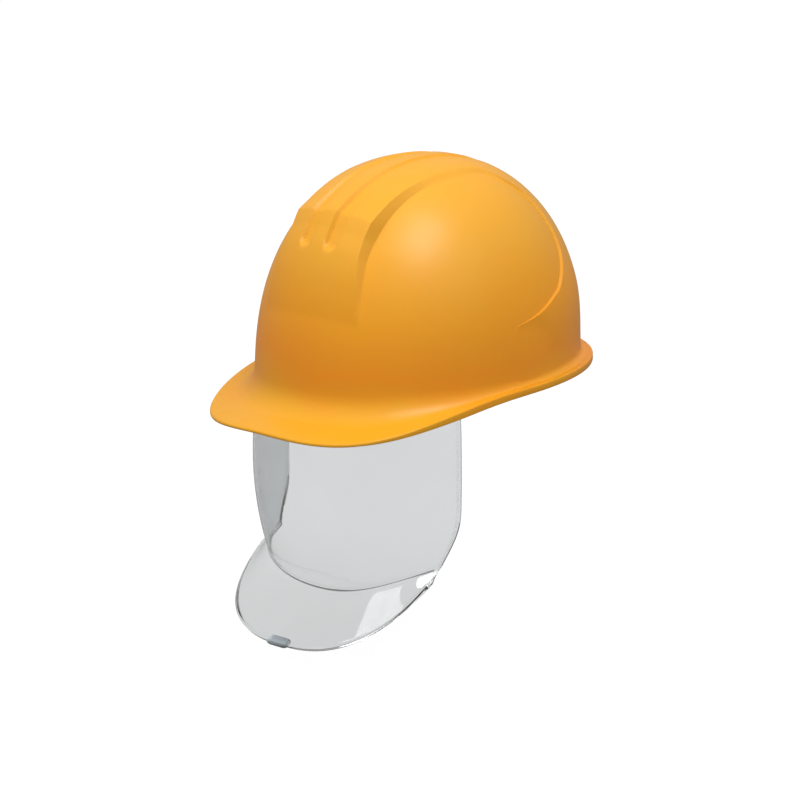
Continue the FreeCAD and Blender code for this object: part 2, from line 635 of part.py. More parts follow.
for label, (hand, radius) in LAYERS.items():
    outer = radius + size("rack_sheet")
    start, end = (-STRAP_INNER, STRAP_END) if hand > 0 else (-STRAP_END, STRAP_INNER)
    strap = arc_band(radius, outer, NAPE_Z - RACK_HALF, NAPE_Z + RACK_HALF, start, end, NAPE)
    far, near = PITCH_RADIUS + ROOT_DEPTH, 6.2
    low, high = (-near, far) if hand > 0 else (-far, near)
    strap = strap.cut(arc_band(radius - 1, outer + 1, NAPE_Z + low, NAPE_Z + high,
                               -WINDOW_HALF, WINDOW_HALF, NAPE))
    middle = hand * STUD_ANGLE
    strap = strap.cut(arc_band(radius - 1, outer + 1, NAPE_Z - 2.4, NAPE_Z + 2.4,
                               middle - STUD_SLOT, middle + STUD_SLOT, NAPE))
    teeth = [rack_tooth((index - (RACK_TEETH - 1) / 2) * PITCH, radius, hand)
             for index in range(RACK_TEETH)]
    add_shape(label, strap.fuse(teeth).removeSplitter())

studs = []
for hand, radius in LAYERS.values():
    bearing = math.radians(hand * STUD_ANGLE)
    direction = V(math.sin(bearing), math.cos(bearing), 0)
    start = V(NAPE).add(V(direction).multiply(side_x)).add(V(0, 0, NAPE_Z))
    reach = radius + size("rack_sheet") + 0.25 - side_x
    shank = Part.makeCylinder(2.0, reach, start, direction)
    head = Part.makeCylinder(3.4, 0.9, V(start).add(V(direction).multiply(reach)), direction)
    studs.append(shank.fuse(head))
add_shape("band_studs", Part.Compound(studs))

half_angle = size("housing_half_angle")
WALL, GAP = size("housing_wall"), size("rack_gap")
cavity_inner = size("rack_radius") - GAP
cavity_outer = size("rack_radius") + 2 * size("rack_sheet") + 2 * GAP
low, high = NAPE_Z - RACK_HALF - GAP, NAPE_Z + RACK_HALF + GAP
housing = arc_band(cavity_inner - WALL + 0.2, cavity_outer, low - WALL, high + WALL,
                   -half_angle, half_angle, NAPE)
housing = housing.cut(arc_band(cavity_inner, cavity_outer + 1, low, high,
                               -half_angle - 2, half_angle + 2, NAPE))
add_shape("ratchet_housing", housing)

shaft_r = size("shaft_diameter") / 2
cover = arc_band(cavity_outer, cavity_outer + WALL, low - WALL, high + WALL,
                 -half_angle, half_angle, NAPE)
cover = cover.cut(Part.makeCylinder(shaft_r + 0.1, 30, V(0, 90, NAPE_Z), Y_AXIS))
add_shape("ratchet_cover", cover)

nape_pad = arc_band(cavity_inner - WALL - size("pad_sheet") + 0.2, cavity_inner - WALL - 0.1,
                    low, high, -18.5, 18.5, NAPE)
add_shape("nape_pad", nape_pad)


def plane(body, role):
    return [one for one in body.Origin.OriginFeatures if one.Role == role][0]


def new_sketch(body, name):
    sketch = body.newObject("Sketcher::SketchObject", name)
    sketch.AttachmentSupport = [(plane(body, "XY_Plane"), "")]
    sketch.MapMode = "FlatFace"
    return sketch


def circle(sketch, radius_expression, x=0.0):
    """Circle bound to the sheet, on the sketch's X axis."""
    index = sketch.addGeometry(Part.Circle(V(x, 0, 0), Z_AXIS, 1.0 + 0.1 * x), False)
    sketch.addConstraint(Sketcher.Constraint("PointOnObject", index, 3, -1))
    sketch.addConstraint(Sketcher.Constraint("DistanceX", -1, 1, index, 3, x))
    number = sketch.addConstraint(Sketcher.Constraint("Radius", index, 2.0))
    sketch.setExpression("Constraints[%d]" % number, radius_expression)
    return index


def backward(body, y):
    """Turn a body so that its own +Z points to the rear, on the adjuster's axis."""
    body.Placement = FreeCAD.Placement(V(0, y, NAPE_Z), FreeCAD.Rotation(X_AXIS, -90))


# pinion: toothed wheel and the shaft that carries the knob
pinion = doc.addObject("PartDesign::Body", "ratchet_pinion")
backward(pinion, size("nape_y") + cavity_inner + 0.15)
wheel = new_sketch(pinion, "pinion_wheel")
circle(wheel, "dimensions.gear_module * (dimensions.gear_teeth / 2 - 1.25)")
wheel_pad = pinion.newObject("PartDesign::Pad", "pinion_wheel_pad")
wheel_pad.Profile = wheel
wheel_pad.setExpression("Length", "2 * dimensions.rack_sheet + dimensions.rack_gap + 0.3")
tooth = new_sketch(pinion, "pinion_tooth")
corners = [V(-0.72, 3.2, 0), V(-0.62, 3.9, 0), V(-0.44, 4.8, 0), V(-0.14, 5.35, 0),
           V(0.14, 5.35, 0), V(0.44, 4.8, 0), V(0.62, 3.9, 0), V(0.72, 3.2, 0)]
for start, end in zip(corners, corners[1:] + corners[:1]):
    tooth.addGeometry(Part.LineSegment(start, end), False)
tooth_pad = pinion.newObject("PartDesign::Pad", "pinion_tooth_pad")
tooth_pad.Profile = tooth
tooth_pad.setExpression("Length", "2 * dimensions.rack_sheet + dimensions.rack_gap + 0.3")
ring_of_teeth = pinion.newObject("PartDesign::PolarPattern", "pinion_teeth")
ring_of_teeth.Originals = [tooth_pad]
ring_of_teeth.Axis = (wheel, ["N_Axis"])
ring_of_teeth.Angle = 360
ring_of_teeth.setExpression("Occurrences", "dimensions.gear_teeth")
pinion.Tip = ring_of_teeth
shaft = new_sketch(pinion, "pinion_shaft")
circle(shaft, "dimensions.shaft_diameter / 2")
circle(shaft, "dimensions.shaft_diameter / 4")
shaft_pad = pinion.newObject("PartDesign::Pad", "pinion_shaft_pad")
shaft_pad.Profile = shaft
shaft_pad.setExpression("Length", "dimensions.knob_face + 4.5 - %f" % pinion.Placement.Base.y)
pinion.Tip = shaft_pad
finish(pinion, "ratchet_pinion")

# knob: a disc with finger grips round its rim and a recess for its screw
knob = doc.addObject("PartDesign::Body", "ratchet_knob")
backward(knob, size("knob_face"))
disc = new_sketch(knob, "knob_disc")
circle(disc, "dimensions.knob_diameter / 2")
disc_pad = knob.newObject("PartDesign::Pad", "knob_disc_pad")
disc_pad.Profile = disc
disc_pad.setExpression("Length", "dimensions.knob_depth")
grip = new_sketch(knob, "knob_grip")
circle(grip, "dimensions.knob_diameter / 16", size("knob_diameter") / 2 + 0.6)
grip_cut = knob.newObject("PartDesign::Pocket", "knob_grip_cut")
grip_cut.Profile = grip
grip_cut.Type = "ThroughAll"
grip_cut.Reversed = True
grips = knob.newObject("PartDesign::PolarPattern", "knob_grips")
grips.Originals = [grip_cut]
grips.Axis = (disc, ["N_Axis"])
grips.Angle = 360
grips.setExpression("Occurrences", "dimensions.knob_grips")
knob.Tip = grips
bore = new_sketch(knob, "knob_bore")
circle(bore, "dimensions.shaft_diameter / 2")
bore_cut = knob.newObject("PartDesign::Pocket", "knob_bore_cut")
bore_cut.Profile = bore
bore_cut.Type = "ThroughAll"
bore_cut.Reversed = True
knob.Tip = bore_cut
finish(knob, "ratchet_knob")

SCREW_SINK, SCREW_LENGTH = 1.5, 7.0
screw_y = size("knob_face") + size("knob_depth") - SCREW_SINK
screw = Part.makeCylinder(size("shaft_diameter") / 2 - 0.1, 1.6, V(0, screw_y - 1.6, NAPE_Z), Y_AXIS)
screw = screw.fuse(Part.makeCylinder(shaft_r / 2, SCREW_LENGTH,
                                     V(0, screw_y - 1.6 - SCREW_LENGTH, NAPE_Z), Y_AXIS))
add_shape("knob_screw", screw)

# ---------------------------------------------------------------- check and write

SUB_PARTS = (
    "shell", "impact_liner", "face_shield", "grip_tab", "shield_arm_left", "shield_arm_right",
    "sliders_left", "sliders_right", "shield_rivets", "guide_rail_left", "guide_rail_right",
    "stop_pads", "harness_ring", "rail_screws", "hanger_left", "hanger_right",
    "hanger_rear_left", "hanger_rear_right", "headband", "brow_pad", "band_clips",
    "crown_strap_middle", "crown_strap_left", "crown_strap_right", "strap_clips", "crown_pad",
    "nape_strap_left", "nape_strap_right", "band_studs", "ratchet_housing", "ratchet_cover",
    "nape_pad", "ratchet_pinion", "ratchet_knob", "knob_screw",
)
doc.recompute()
for item in doc.Objects:
    if "Invalid" in item.State or "Error" in item.State:
        raise RuntimeError("%s did not rebuild: %s" % (item.Name, item.State))
os.makedirs("parts", exist_ok=True)
for label in SUB_PARTS:
    part = doc.getObjectsByLabel(label)[0]
    if part.Shape.isNull() or not part.Shape.isValid() or not part.Shape.Solids:
        raise RuntimeError("%s has no valid solid" % label)
    part.Shape.exportStep("parts/%s.step" % label)
    print("%-20s %2d solid(s) %10.1f mm3" % (label, len(part.Shape.Solids), part.Shape.Volume))
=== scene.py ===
import math

import bmesh
import bpy
import numpy as np
from mathutils import Matrix, Vector


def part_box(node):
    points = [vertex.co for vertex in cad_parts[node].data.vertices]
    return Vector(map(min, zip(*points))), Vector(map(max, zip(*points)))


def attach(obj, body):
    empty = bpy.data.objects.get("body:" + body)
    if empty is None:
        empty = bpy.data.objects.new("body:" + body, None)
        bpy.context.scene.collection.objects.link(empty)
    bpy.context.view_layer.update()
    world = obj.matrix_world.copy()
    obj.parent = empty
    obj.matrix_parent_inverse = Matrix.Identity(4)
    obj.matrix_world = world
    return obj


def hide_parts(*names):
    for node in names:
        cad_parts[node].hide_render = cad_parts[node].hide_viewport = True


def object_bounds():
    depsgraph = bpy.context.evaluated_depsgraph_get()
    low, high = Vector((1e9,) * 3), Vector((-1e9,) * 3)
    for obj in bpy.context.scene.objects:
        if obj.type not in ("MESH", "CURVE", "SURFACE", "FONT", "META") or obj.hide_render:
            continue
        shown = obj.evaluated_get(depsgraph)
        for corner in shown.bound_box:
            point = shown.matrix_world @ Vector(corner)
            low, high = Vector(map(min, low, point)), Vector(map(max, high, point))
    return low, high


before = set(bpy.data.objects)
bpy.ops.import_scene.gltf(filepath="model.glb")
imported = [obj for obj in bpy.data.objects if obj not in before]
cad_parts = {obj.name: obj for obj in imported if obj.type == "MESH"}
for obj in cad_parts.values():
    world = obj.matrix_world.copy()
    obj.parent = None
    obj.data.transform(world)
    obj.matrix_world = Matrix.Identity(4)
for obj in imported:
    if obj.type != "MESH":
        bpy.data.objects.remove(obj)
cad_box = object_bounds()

# Safety helmet with a clear face shield. The shape functions work in millimetres, in the frame
# of the CAD model: +Z is up, the peak points to -Y. add_mesh turns them into metres.
MM = 0.001


# ---------------------------------------------------------------- general helpers

def power(value, exponent):
    """Signed power, for superellipses."""
    return np.sign(value) * np.abs(value) ** exponent


def smooth(value, low, high):
    """0 below low, 1 above high, and a smooth ramp between."""
    ramp = np.clip((value - low) / (high - low), 0.0, 1.0)
    return ramp * ramp * (3 - 2 * ramp)


def along(value, points, column):
    """A column of a short list of points, against its first column."""
    rows = np.array(points, float)
    return np.interp(value, rows[:, 0], rows[:, column])


def spread(stops, counts):
    """Stations that run through the stops, with a number of cells between each two."""
    pieces = [np.linspace(low, high, count, endpoint=False)
              for low, high, count in zip(stops[:-1], stops[1:], counts)]
    return np.concatenate(pieces + [[stops[-1]]])


def unit(vectors):
    """Vectors scaled to a length of one."""
    return vectors / np.maximum(np.linalg.norm(vectors, axis=-1, keepdims=True), 1e-9)


def grid_normals(grid):
    """Unit normals of a grid of points, from the differences between its neighbours."""
    return unit(np.cross(np.gradient(grid, axis=1), np.gradient(grid, axis=0)))


def grid_faces(first, rows, columns, wrap=False, flip=False):
    """Quads of a grid whose vertices are numbered row by row from first."""
    faces = []
    for row in range(rows - 1):
        for column in range(columns if wrap else columns - 1):
            after = (column + 1) % columns
            quad = [first + row * columns + column, first + row * columns + after,
                    first + (row + 1) * columns + after, first + (row + 1) * columns + column]
            faces.append(quad[::-1] if flip else quad)
    return faces


def add_mesh(name, points, faces, material, body, crease_angle=35):
    """Piece from points in millimetres: merged, made consistent, and smooth but for its creases."""
    mesh = bpy.data.meshes.new(name)
    mesh.from_pydata((np.asarray(points) * MM).tolist(), [], faces)
    work = bmesh.new()
    work.from_mesh(mesh)
    bmesh.ops.remove_doubles(work, verts=work.verts, dist=2e-6)
    bmesh.ops.dissolve_degenerate(work, edges=work.edges, dist=1e-6)
    bmesh.ops.recalc_face_normals(work, faces=work.faces)
    for face in work.faces:
        face.smooth = True
    for edge in work.edges:
        if len(edge.link_faces) == 2 and edge.calc_face_angle() > math.radians(crease_angle):
            edge.smooth = False
    work.to_mesh(mesh)
    work.free()
    piece = bpy.data.objects.new(name, mesh)
    bpy.context.scene.collection.objects.link(piece)
    mesh.materials.append(material)
    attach(piece, body)
    return piece


def closed_sheet(outer, inner, name, material, body, crease_angle=35):
    """Piece between an outer and an inner grid, closed round their four borders."""
    rows, columns = outer.shape[:2]
    points = np.concatenate([outer.reshape(-1, 3), inner.reshape(-1, 3)])
    faces = grid_faces(0, rows, columns) + grid_faces(rows * columns, rows, columns, flip=True)
    border = [row * columns for row in range(rows)]
    border += [(rows - 1) * columns + column for column in range(1, columns)]
    border += [row * columns + columns - 1 for row in range(rows - 2, -1, -1)]
    border += [column for column in range(columns - 2, 0, -1)]
    shift = rows * columns
    for start, end in zip(border, border[1:] + border[:1]):
        faces.append([start, end, end + shift, start + shift])
    return add_mesh(name, points, faces, material, body, crease_angle)


# ---------------------------------------------------------------- materials

class Nodes:
    """A material's node tree, with short calls for the textures that the finishes share."""

    def __init__(self, name):
        """New material with its shader, and object coordinates for its textures."""
        self.material = bpy.data.materials.new(name)
        self.material.use_nodes = True
        self.tree = self.material.node_tree
        self.shader = self.tree.nodes["Principled BSDF"]
        self.place = self.add("ShaderNodeTexCoord").outputs["Object"]

    def add(self, kind, **values):
        """New node with its settings."""
        node = self.tree.nodes.new(kind)
        for key, value in values.items():
            setattr(node, key, value)
        return node

    def link(self, source, target):
        """Wire from an output to an input."""
        self.tree.links.new(source, target)

    def set(self, **values):
        """Constants on the shader's own sockets."""
        for key, value in values.items():
            self.shader.inputs[key.replace("_", " ")].default_value = value

    def noise(self, scale, detail=2.0, roughness=0.5, stretch=None):
        """Noise in object space, stretched if wanted."""
        node = self.add("ShaderNodeTexNoise")
        node.inputs["Scale"].default_value = scale
        node.inputs["Detail"].default_value = detail
        node.inputs["Roughness"].default_value = roughness
        self.link(self.stretched(stretch), node.inputs["Vector"])
        return node.outputs["Fac"]

    def height(self):
        """Height above the frame's origin, in metres."""
        node = self.add("ShaderNodeSeparateXYZ")
        self.link(self.place, node.inputs["Vector"])
        return node.outputs["Z"]

    def cells(self, scale):
        """Distance to the nearest cell centre."""
        node = self.add("ShaderNodeTexVoronoi")
        node.inputs["Scale"].default_value = scale
        self.link(self.place, node.inputs["Vector"])
        return node.outputs["Distance"]

    def wave(self, scale, direction):
        """Parallel bands."""
        node = self.add("ShaderNodeTexWave", bands_direction=direction)
        node.inputs["Scale"].default_value = scale
        self.link(self.place, node.inputs["Vector"])
        return node.outputs["Fac"]

    def stretched(self, stretch):
        """Object coordinates, scaled along each axis if wanted."""
        if stretch is None:
            return self.place
        node = self.add("ShaderNodeMapping")
        node.inputs["Scale"].default_value = stretch
        self.link(self.place, node.inputs["Vector"])
        return node.outputs["Vector"]

    def math(self, operation, first, second):
        """Sum or product of two outputs, or of an output and a number."""
        node = self.add("ShaderNodeMath", operation=operation)
        for index, value in enumerate((first, second)):
            if isinstance(value, float):
                node.inputs[index].default_value = value
            else:
                self.link(value, node.inputs[index])
        return node.outputs[0]

    def ramp(self, source, stops):
        """Colour ramp; each stop is a place and a linear colour or grey."""
        node = self.add("ShaderNodeValToRGB")
        while len(node.color_ramp.elements) < len(stops):
            node.color_ramp.elements.new(0.5)
        for element, (place, value) in zip(node.color_ramp.elements, stops):
            colour = value if isinstance(value, tuple) else (value, value, value)
            element.position = place
            element.color = (*colour, 1)
        self.link(source, node.inputs["Fac"])
        return node.outputs["Color"]

    def colour(self, source, stops):
        """Base colour from a ramp."""
        self.link(self.ramp(source, stops), self.shader.inputs["Base Color"])

    def rough(self, source, low, high):
        """Roughness that varies between two values."""
        self.link(self.ramp(source, ((0.3, low), (0.7, high))), self.shader.inputs["Roughness"])

    def bump(self, source, depth, strength=1.0, under=None):
        """Fine relief, on top of another bump if there is one."""
        node = self.add("ShaderNodeBump")
        node.inputs["Distance"].default_value = depth
        node.inputs["Strength"].default_value = strength
        self.link(source, node.inputs["Height"])
        if under is not None:
            self.link(under, node.inputs["Normal"])
        self.link(node.outputs["Normal"], self.shader.inputs["Normal"])
        return node.outputs["Normal"]


def shell_material():
    """Satin moulded ABS: a fine grain, faint flow variation, slightly uneven gloss, and light and
    shade painted into its colour by height.
    """
    nodes = Nodes("shell_abs")
    nodes.set(IOR=1.5, Specular_IOR_Level=0.36)
    flow = nodes.math("ADD", nodes.math("MULTIPLY", nodes.noise(9, 3), 0.4), 0.3)
    # The colour's change with height is painted light and shade: a paler, yellower painted sheen
    # towards the crown, redder painted shade on the lower sides, and yellower again at the lowest
    # part; the flow noise shifts it at random.
    height = nodes.math("ADD", nodes.math("MULTIPLY", nodes.height(), 5.0), flow)
    nodes.colour(height, ((0.44, (0.66, 0.300, 0.010)), (0.60, (0.73, 0.250, 0.008)),
                          (0.80, (0.72, 0.285, 0.009)), (1.0, (0.68, 0.312, 0.020))))
    nodes.rough(nodes.noise(60, 3), 0.36, 0.44)
    grain = nodes.bump(nodes.noise(1500, 2, 0.6), 0.00003, 0.35)
    nodes.bump(nodes.noise(40, 2), 0.0002, 0.25, grain)
    return nodes.material


def clear_material():
    """Clear polycarbonate with a faint grey tint and hairline wear."""
    nodes = Nodes("shield_polycarbonate")
    nodes.set(IOR=1.58, Transmission_Weight=1.0, Specular_IOR_Level=0.5)
    nodes.colour(nodes.noise(14, 2), ((0.3, (0.630, 0.645, 0.648)), (0.7, (0.655, 0.670, 0.674))))
    nodes.rough(nodes.noise(120, 4, 0.7, (1, 1, 0.15)), 0.012, 0.05)
    nodes.bump(nodes.noise(25, 2), 0.0001, 0.15)
    return nodes.material


def tab_material():
    """The grip: the same plastic, thicker and faintly blue."""
    nodes = Nodes("tab_polycarbonate")
    nodes.set(IOR=1.58, Transmission_Weight=1.0)
    nodes.colour(nodes.noise(60, 2), ((0.3, (0.72, 0.80, 0.86)), (0.7, (0.78, 0.85, 0.9))))
    nodes.rough(nodes.noise(300, 3), 0.06, 0.16)
    nodes.bump(nodes.wave(260, "X"), 0.0003, 0.6)
    return nodes.material


def moulded_material(name, dark, light, low=0.35, high=0.5, grain=900):
    """Plain moulded plastic with a spark-eroded grain."""
    nodes = Nodes(name)
    nodes.set(IOR=1.49)
    nodes.colour(nodes.noise(30, 3), ((0.3, dark), (0.7, light)))
    nodes.rough(nodes.noise(140, 3), low, high)
    nodes.bump(nodes.noise(grain, 3, 0.6), 0.00008, 0.5)
    return nodes.material


def foam_material():
    """Expanded polystyrene: packed beads with dark joints between them."""
    nodes = Nodes("liner_foam")
    nodes.set(IOR=1.3, Specular_IOR_Level=0.25)
    beads = nodes.cells(330)
    nodes.colour(beads, ((0.2, (0.80, 0.80, 0.78)), (0.75, (0.60, 0.60, 0.58))))
    nodes.rough(nodes.noise(80, 3), 0.75, 0.9)
    nodes.bump(nodes.math("MULTIPLY", beads, -1.0), 0.0006, 0.8)
    return nodes.material


def webbing_material():
    """Woven polyester tape: a tight basket weave and a soft sheen."""
    nodes = Nodes("webbing_weave")
    nodes.set(Sheen_Weight=0.3, Sheen_Roughness=0.4, IOR=1.45)
    weave = nodes.math("MULTIPLY", nodes.wave(420, "DIAGONAL"), nodes.wave(420, "Z"))
    nodes.colour(weave, ((0.1, (0.018, 0.018, 0.02)), (0.8, (0.06, 0.06, 0.065))))
    nodes.rough(nodes.noise(200, 2), 0.7, 0.85)
    nodes.bump(weave, 0.0004, 0.8)
    return nodes.material


def pad_material():
    """Brushed towelling over foam, with short loops."""
    nodes = Nodes("pad_towelling")
    nodes.set(Sheen_Weight=0.5, Sheen_Roughness=0.5, IOR=1.4)
    loops = nodes.cells(900)
    nodes.colour(loops, ((0.15, (0.07, 0.07, 0.075)), (0.7, (0.02, 0.02, 0.022))))
    nodes.rough(nodes.noise(90, 3), 0.85, 0.95)
    nodes.bump(nodes.math("ADD", nodes.math("MULTIPLY", loops, -1.0), nodes.noise(400, 3)),
               0.0006, 0.9)
    return nodes.material


def steel_material():
    """Bright zinc-plated steel with fine turned marks."""
    nodes = Nodes("zinc_steel")
    nodes.set(Metallic=1.0)
    nodes.colour(nodes.noise(150, 3), ((0.3, (0.50, 0.50, 0.49)), (0.7, (0.62, 0.62, 0.60))))
    nodes.rough(nodes.noise(600, 3), 0.25, 0.4)
    nodes.bump(nodes.noise(1200, 2), 0.00003, 0.5)
    return nodes.material


def rubber_material():
    """Dark moulded rubber with a dusty bloom."""
    nodes = Nodes("stop_rubber")
    nodes.colour(nodes.noise(200, 3), ((0.3, (0.015, 0.015, 0.015)), (0.7, (0.03, 0.03, 0.03))))
    nodes.rough(nodes.noise(300, 2), 0.7, 0.85)
    nodes.bump(nodes.noise(1500, 3), 0.00006, 0.6)
    return nodes.material


def floor_material():
    """Pale studio paper."""
    nodes = Nodes("floor_paper")
    nodes.colour(nodes.noise(4, 2), ((0.3, (0.08, 0.08, 0.08)), (0.7, (0.09, 0.09, 0.09))))
    nodes.set(Roughness=0.9, Emission_Color=(1, 1, 1, 1), Emission_Strength=0.94)
    nodes.bump(nodes.noise(300, 3), 0.0002, 0.2)
    return nodes.material


SHELL = shell_material()
CLEAR = clear_material()
TAB = tab_material()
FOAM = foam_material()
WEBBING = webbing_material()
PAD = pad_material()
STEEL = steel_material()
RUBBER = rubber_material()
HARNESS = moulded_material("harness_polyethylene", (0.030, 0.031, 0.034), (0.042, 0.043, 0.047))
RAIL = moulded_material("rail_nylon", (0.040, 0.041, 0.044), (0.055, 0.056, 0.06), 0.3, 0.42)
SLIDER = moulded_material("slider_acetal", (0.60, 0.60, 0.58), (0.68, 0.68, 0.66), 0.28, 0.4)
KNOB = moulded_material("knob_nylon", (0.022, 0.022, 0.024), (0.034, 0.034, 0.037), 0.4, 0.55, 500)


# ---------------------------------------------------------------- shell shape

DOME_HALF, DOME_FRONT, DOME_REAR, DOME_TOP = 104.0, 118.0, 119.0, 148.0
CROWN_LEAN = 5.0
DOME_PLAN, PROFILE_UP, PROFILE_OUT = 2.17, 2.37, 2.15
PEAK_PLAN, REAR_PLAN = 2.6, 2.31
RIM_HALF, PEAK_REACH, REAR_REACH = 111.0, 154.0, 124.5
WALL, BRIM, REAR_LIP, BLEND, PEAK_BLEND = 2.3, 2.3, 5.0, 6.0, 15.0
RIM_LEVEL, RIM_TILT, PEAK_DROOP, DROOP_START, DROOP_CAMBER = 1.7, 0.05, 14.4, 12.5, 1.36
EDGE_TOP, EDGE_LOW, EDGE_INSIDE = 1.0, 0.7, 0.4     # roundings of the brim's edge

# raised forehead block and crown band: turn about X from the front in degrees, half width of its
# top, half width at its foot, rise above the dome
BAND = ((0, 46.0, 47.5, 0.0), (17, 46.0, 47.5, 0.0), (25, 41.8, 44.0, 2.0), (31, 38.6, 41.8, 3.7),
        (37, 35.4, 39.6, 5.2), (43, 33.8, 38.8, 6.2), (48.5, 33.5, 38.4, 8.4), (53, 33.4, 38.2, 6.7),
        (60, 33.4, 38.0, 5.2), (68, 34.0, 38.4, 3.7), (78, 34.6, 39.4, 2.4), (90, 34.6, 40.0, 1.9),
        (100, 34.2, 38.5, 1.8), (120, 34.2, 36.4, 1.8), (160, 34.2, 36.2, 1.8),
        (180, 34.2, 36.2, 1.8))
# plan of the fine ridge that leaves the band behind the crown and runs down the side
RIDGE = ((34, 25), (45, 42), (52.6, 54.6), (63.4, 63.7), (72.4, 66.8), (80.5, 63.5), (89.9, 52),
         (95.6, 38), (99.1, 24), (100.8, 10), (101.3, -4), (102.4, -10))
REAR_RISE = 1.7
GROOVE_IN, GROOVE_OUT, GROOVE_WALL, GROOVE_END = 6.2, 16.8, 1.5, 35.5
CREASE_TURN = 48.5


def dome_point(angle, z, offset=0.0):
    """Point of the dome at a plan angle and height, moved outward by offset."""
    level = np.maximum(z, 0.0) / (DOME_TOP + offset)
    shrink = np.maximum(1 - level ** PROFILE_UP, 0.0) ** (1 / PROFILE_OUT)
    reach = np.where(np.sin(angle) < 0, DOME_FRONT, DOME_REAR) + offset
    x = (DOME_HALF + offset) * shrink * power(np.cos(angle), 2 / DOME_PLAN)
    y = reach * shrink * power(np.sin(angle), 2 / DOME_PLAN) + CROWN_LEAN * level
    return np.stack([x, y, z + 0 * x], -1)


def rim_point(angle):
    """Plan of the brim's outer edge."""
    front = np.sin(angle) < 0
    plan = np.where(front, PEAK_PLAN, REAR_PLAN)
    x = RIM_HALF * power(np.cos(angle), 2 / plan)
    y = np.where(front, PEAK_REACH, REAR_REACH) * power(np.sin(angle), 2 / plan)
    return np.stack([x, y, 0 * x], -1)


def rim_height(x, y):
    """Height of the brim's upper face: it rises to the rear and droops at the peak."""
    reach = np.clip(-(y + DROOP_START), 0.0, None) / (PEAK_REACH - DROOP_START)
    camber = 1 + DROOP_CAMBER * (x / RIM_HALF) ** 2
    return RIM_LEVEL + RIM_TILT * y - PEAK_DROOP * np.clip(reach, 0, 1) ** 2 * camber


def blend_size(angles, flange):
    """Radius of the fillet between dome and brim: widest over the peak."""
    forward = smooth(-np.sin(angles), 0.1, 0.8)
    return np.minimum(BLEND + (PEAK_BLEND - BLEND) * forward, 0.5 * flange)


class Skirt:
    """The brim round the dome's foot: points at a distance out from the foot, above or below."""

    def __init__(self, angles):
        """Foot, rim, fillet and lip at a list of plan angles."""
        foot = dome_point(angles, 0 * angles)
        flange = np.linalg.norm(rim_point(angles) - foot, axis=-1)
        height = rim_height(foot[:, 0], foot[:, 1]) + blend_size(angles, flange)
        self.base = dome_point(angles, height)
        self.rim = rim_point(angles)
        step = (self.rim - self.base) * (1, 1, 0)
        self.flange = np.linalg.norm(step, axis=-1)
        self.step = step / self.flange[:, None]
        self.blend = blend_size(angles, self.flange)
        forward = np.clip(-np.sin(angles) * 2.0 - 0.6, 0.0, 1.0)
        self.lip = REAR_LIP + (BRIM - REAR_LIP) * forward

    def row(self, distance, rise):
        """Ring of points at a distance from the foot, raised above the brim's upper face."""
        place = self.base + self.step * np.reshape(distance + 0 * self.flange, (-1, 1))
        height = rim_height(place[:, 0], place[:, 1]) + rise
        return np.stack([place[:, 0], place[:, 1], height], -1)


def dome_gradient(points):
    """Outward unit normal of the plain dome."""
    x, y, z = points[..., 0], points[..., 1], points[..., 2]
    level = np.maximum(z, 0.0) / DOME_TOP
    own_y = y - CROWN_LEAN * level
    reach = np.where(own_y < 0, DOME_FRONT, DOME_REAR)
    slope_x = DOME_PLAN * power(x / DOME_HALF, DOME_PLAN - 1) / DOME_HALF
    slope_y = DOME_PLAN * power(own_y / reach, DOME_PLAN - 1) / reach
    inside = np.maximum(1 - level ** PROFILE_UP, 1e-9)
    ratio = DOME_PLAN / PROFILE_OUT
    slope_z = ratio * inside ** (ratio - 1) * PROFILE_UP * level ** (PROFILE_UP - 1) / DOME_TOP
    return unit(np.stack([slope_x, slope_y, slope_z - slope_y * CROWN_LEAN / DOME_TOP], -1))


def dome_y(x, z, rear):
    """y of the plain dome at x and z, in front or behind."""
    level = np.maximum(z, 0.0) / DOME_TOP
    left = np.maximum(1 - level ** PROFILE_UP, 0.0) ** (DOME_PLAN / PROFILE_OUT)
    left = np.maximum(left - np.abs(x / DOME_HALF) ** DOME_PLAN, 0.0) ** (1 / DOME_PLAN)
    return np.where(rear, DOME_REAR, -DOME_FRONT) * left + CROWN_LEAN * level


def turn_at(x, y):
    """Turn about X at which the plain dome reaches y in the column at x."""
    turns = np.linspace(60, 150, 181)
    top = DOME_TOP * (1 - (x / DOME_HALF) ** PROFILE_OUT) ** (1 / PROFILE_UP)
    z = top * np.sin(np.radians(turns)) ** (2 / PROFILE_UP)
    return np.interp(y, dome_y(x, z, turns > 90), turns)


def smooth_path(points, count):
    """Points along a Catmull-Rom curve through a short list of points."""
    known = np.array([points[0], *points, points[-1]], float)
    path = []
    for before, start, end, after in zip(known, known[1:], known[2:], known[3:]):
        for share in np.linspace(0, 1, count, endpoint=False):
            path.append(0.5 * (2 * start + (end - before) * share
                               + (2 * before - 5 * start + 4 * end - after) * share ** 2
                               + (3 * start - before - 3 * end + after) * share ** 3))
    return np.array(path + [known[-1]])


RIDGE_TURNS = [(x, turn_at(x, y)) for x, y in smooth_path(RIDGE, 12)]


def ridge_turn(x):
    """Turn about X at which the fine ridge crosses a column."""
    return along(np.abs(x), RIDGE_TURNS, 1)


def column_plan(scale):
    """For each column from the middle to the side pole: the strip that it is in, and its share."""
    counts = [max(1, round(count * scale)) for count in (3, 4, 5, 4, 8, 4, 54)]
    strips = np.concatenate([np.full(count, strip) for strip, count in enumerate(counts)] + [[6]])
    shares = np.concatenate([np.arange(count) / count for count in counts] + [[1.0]])
    return strips, shares


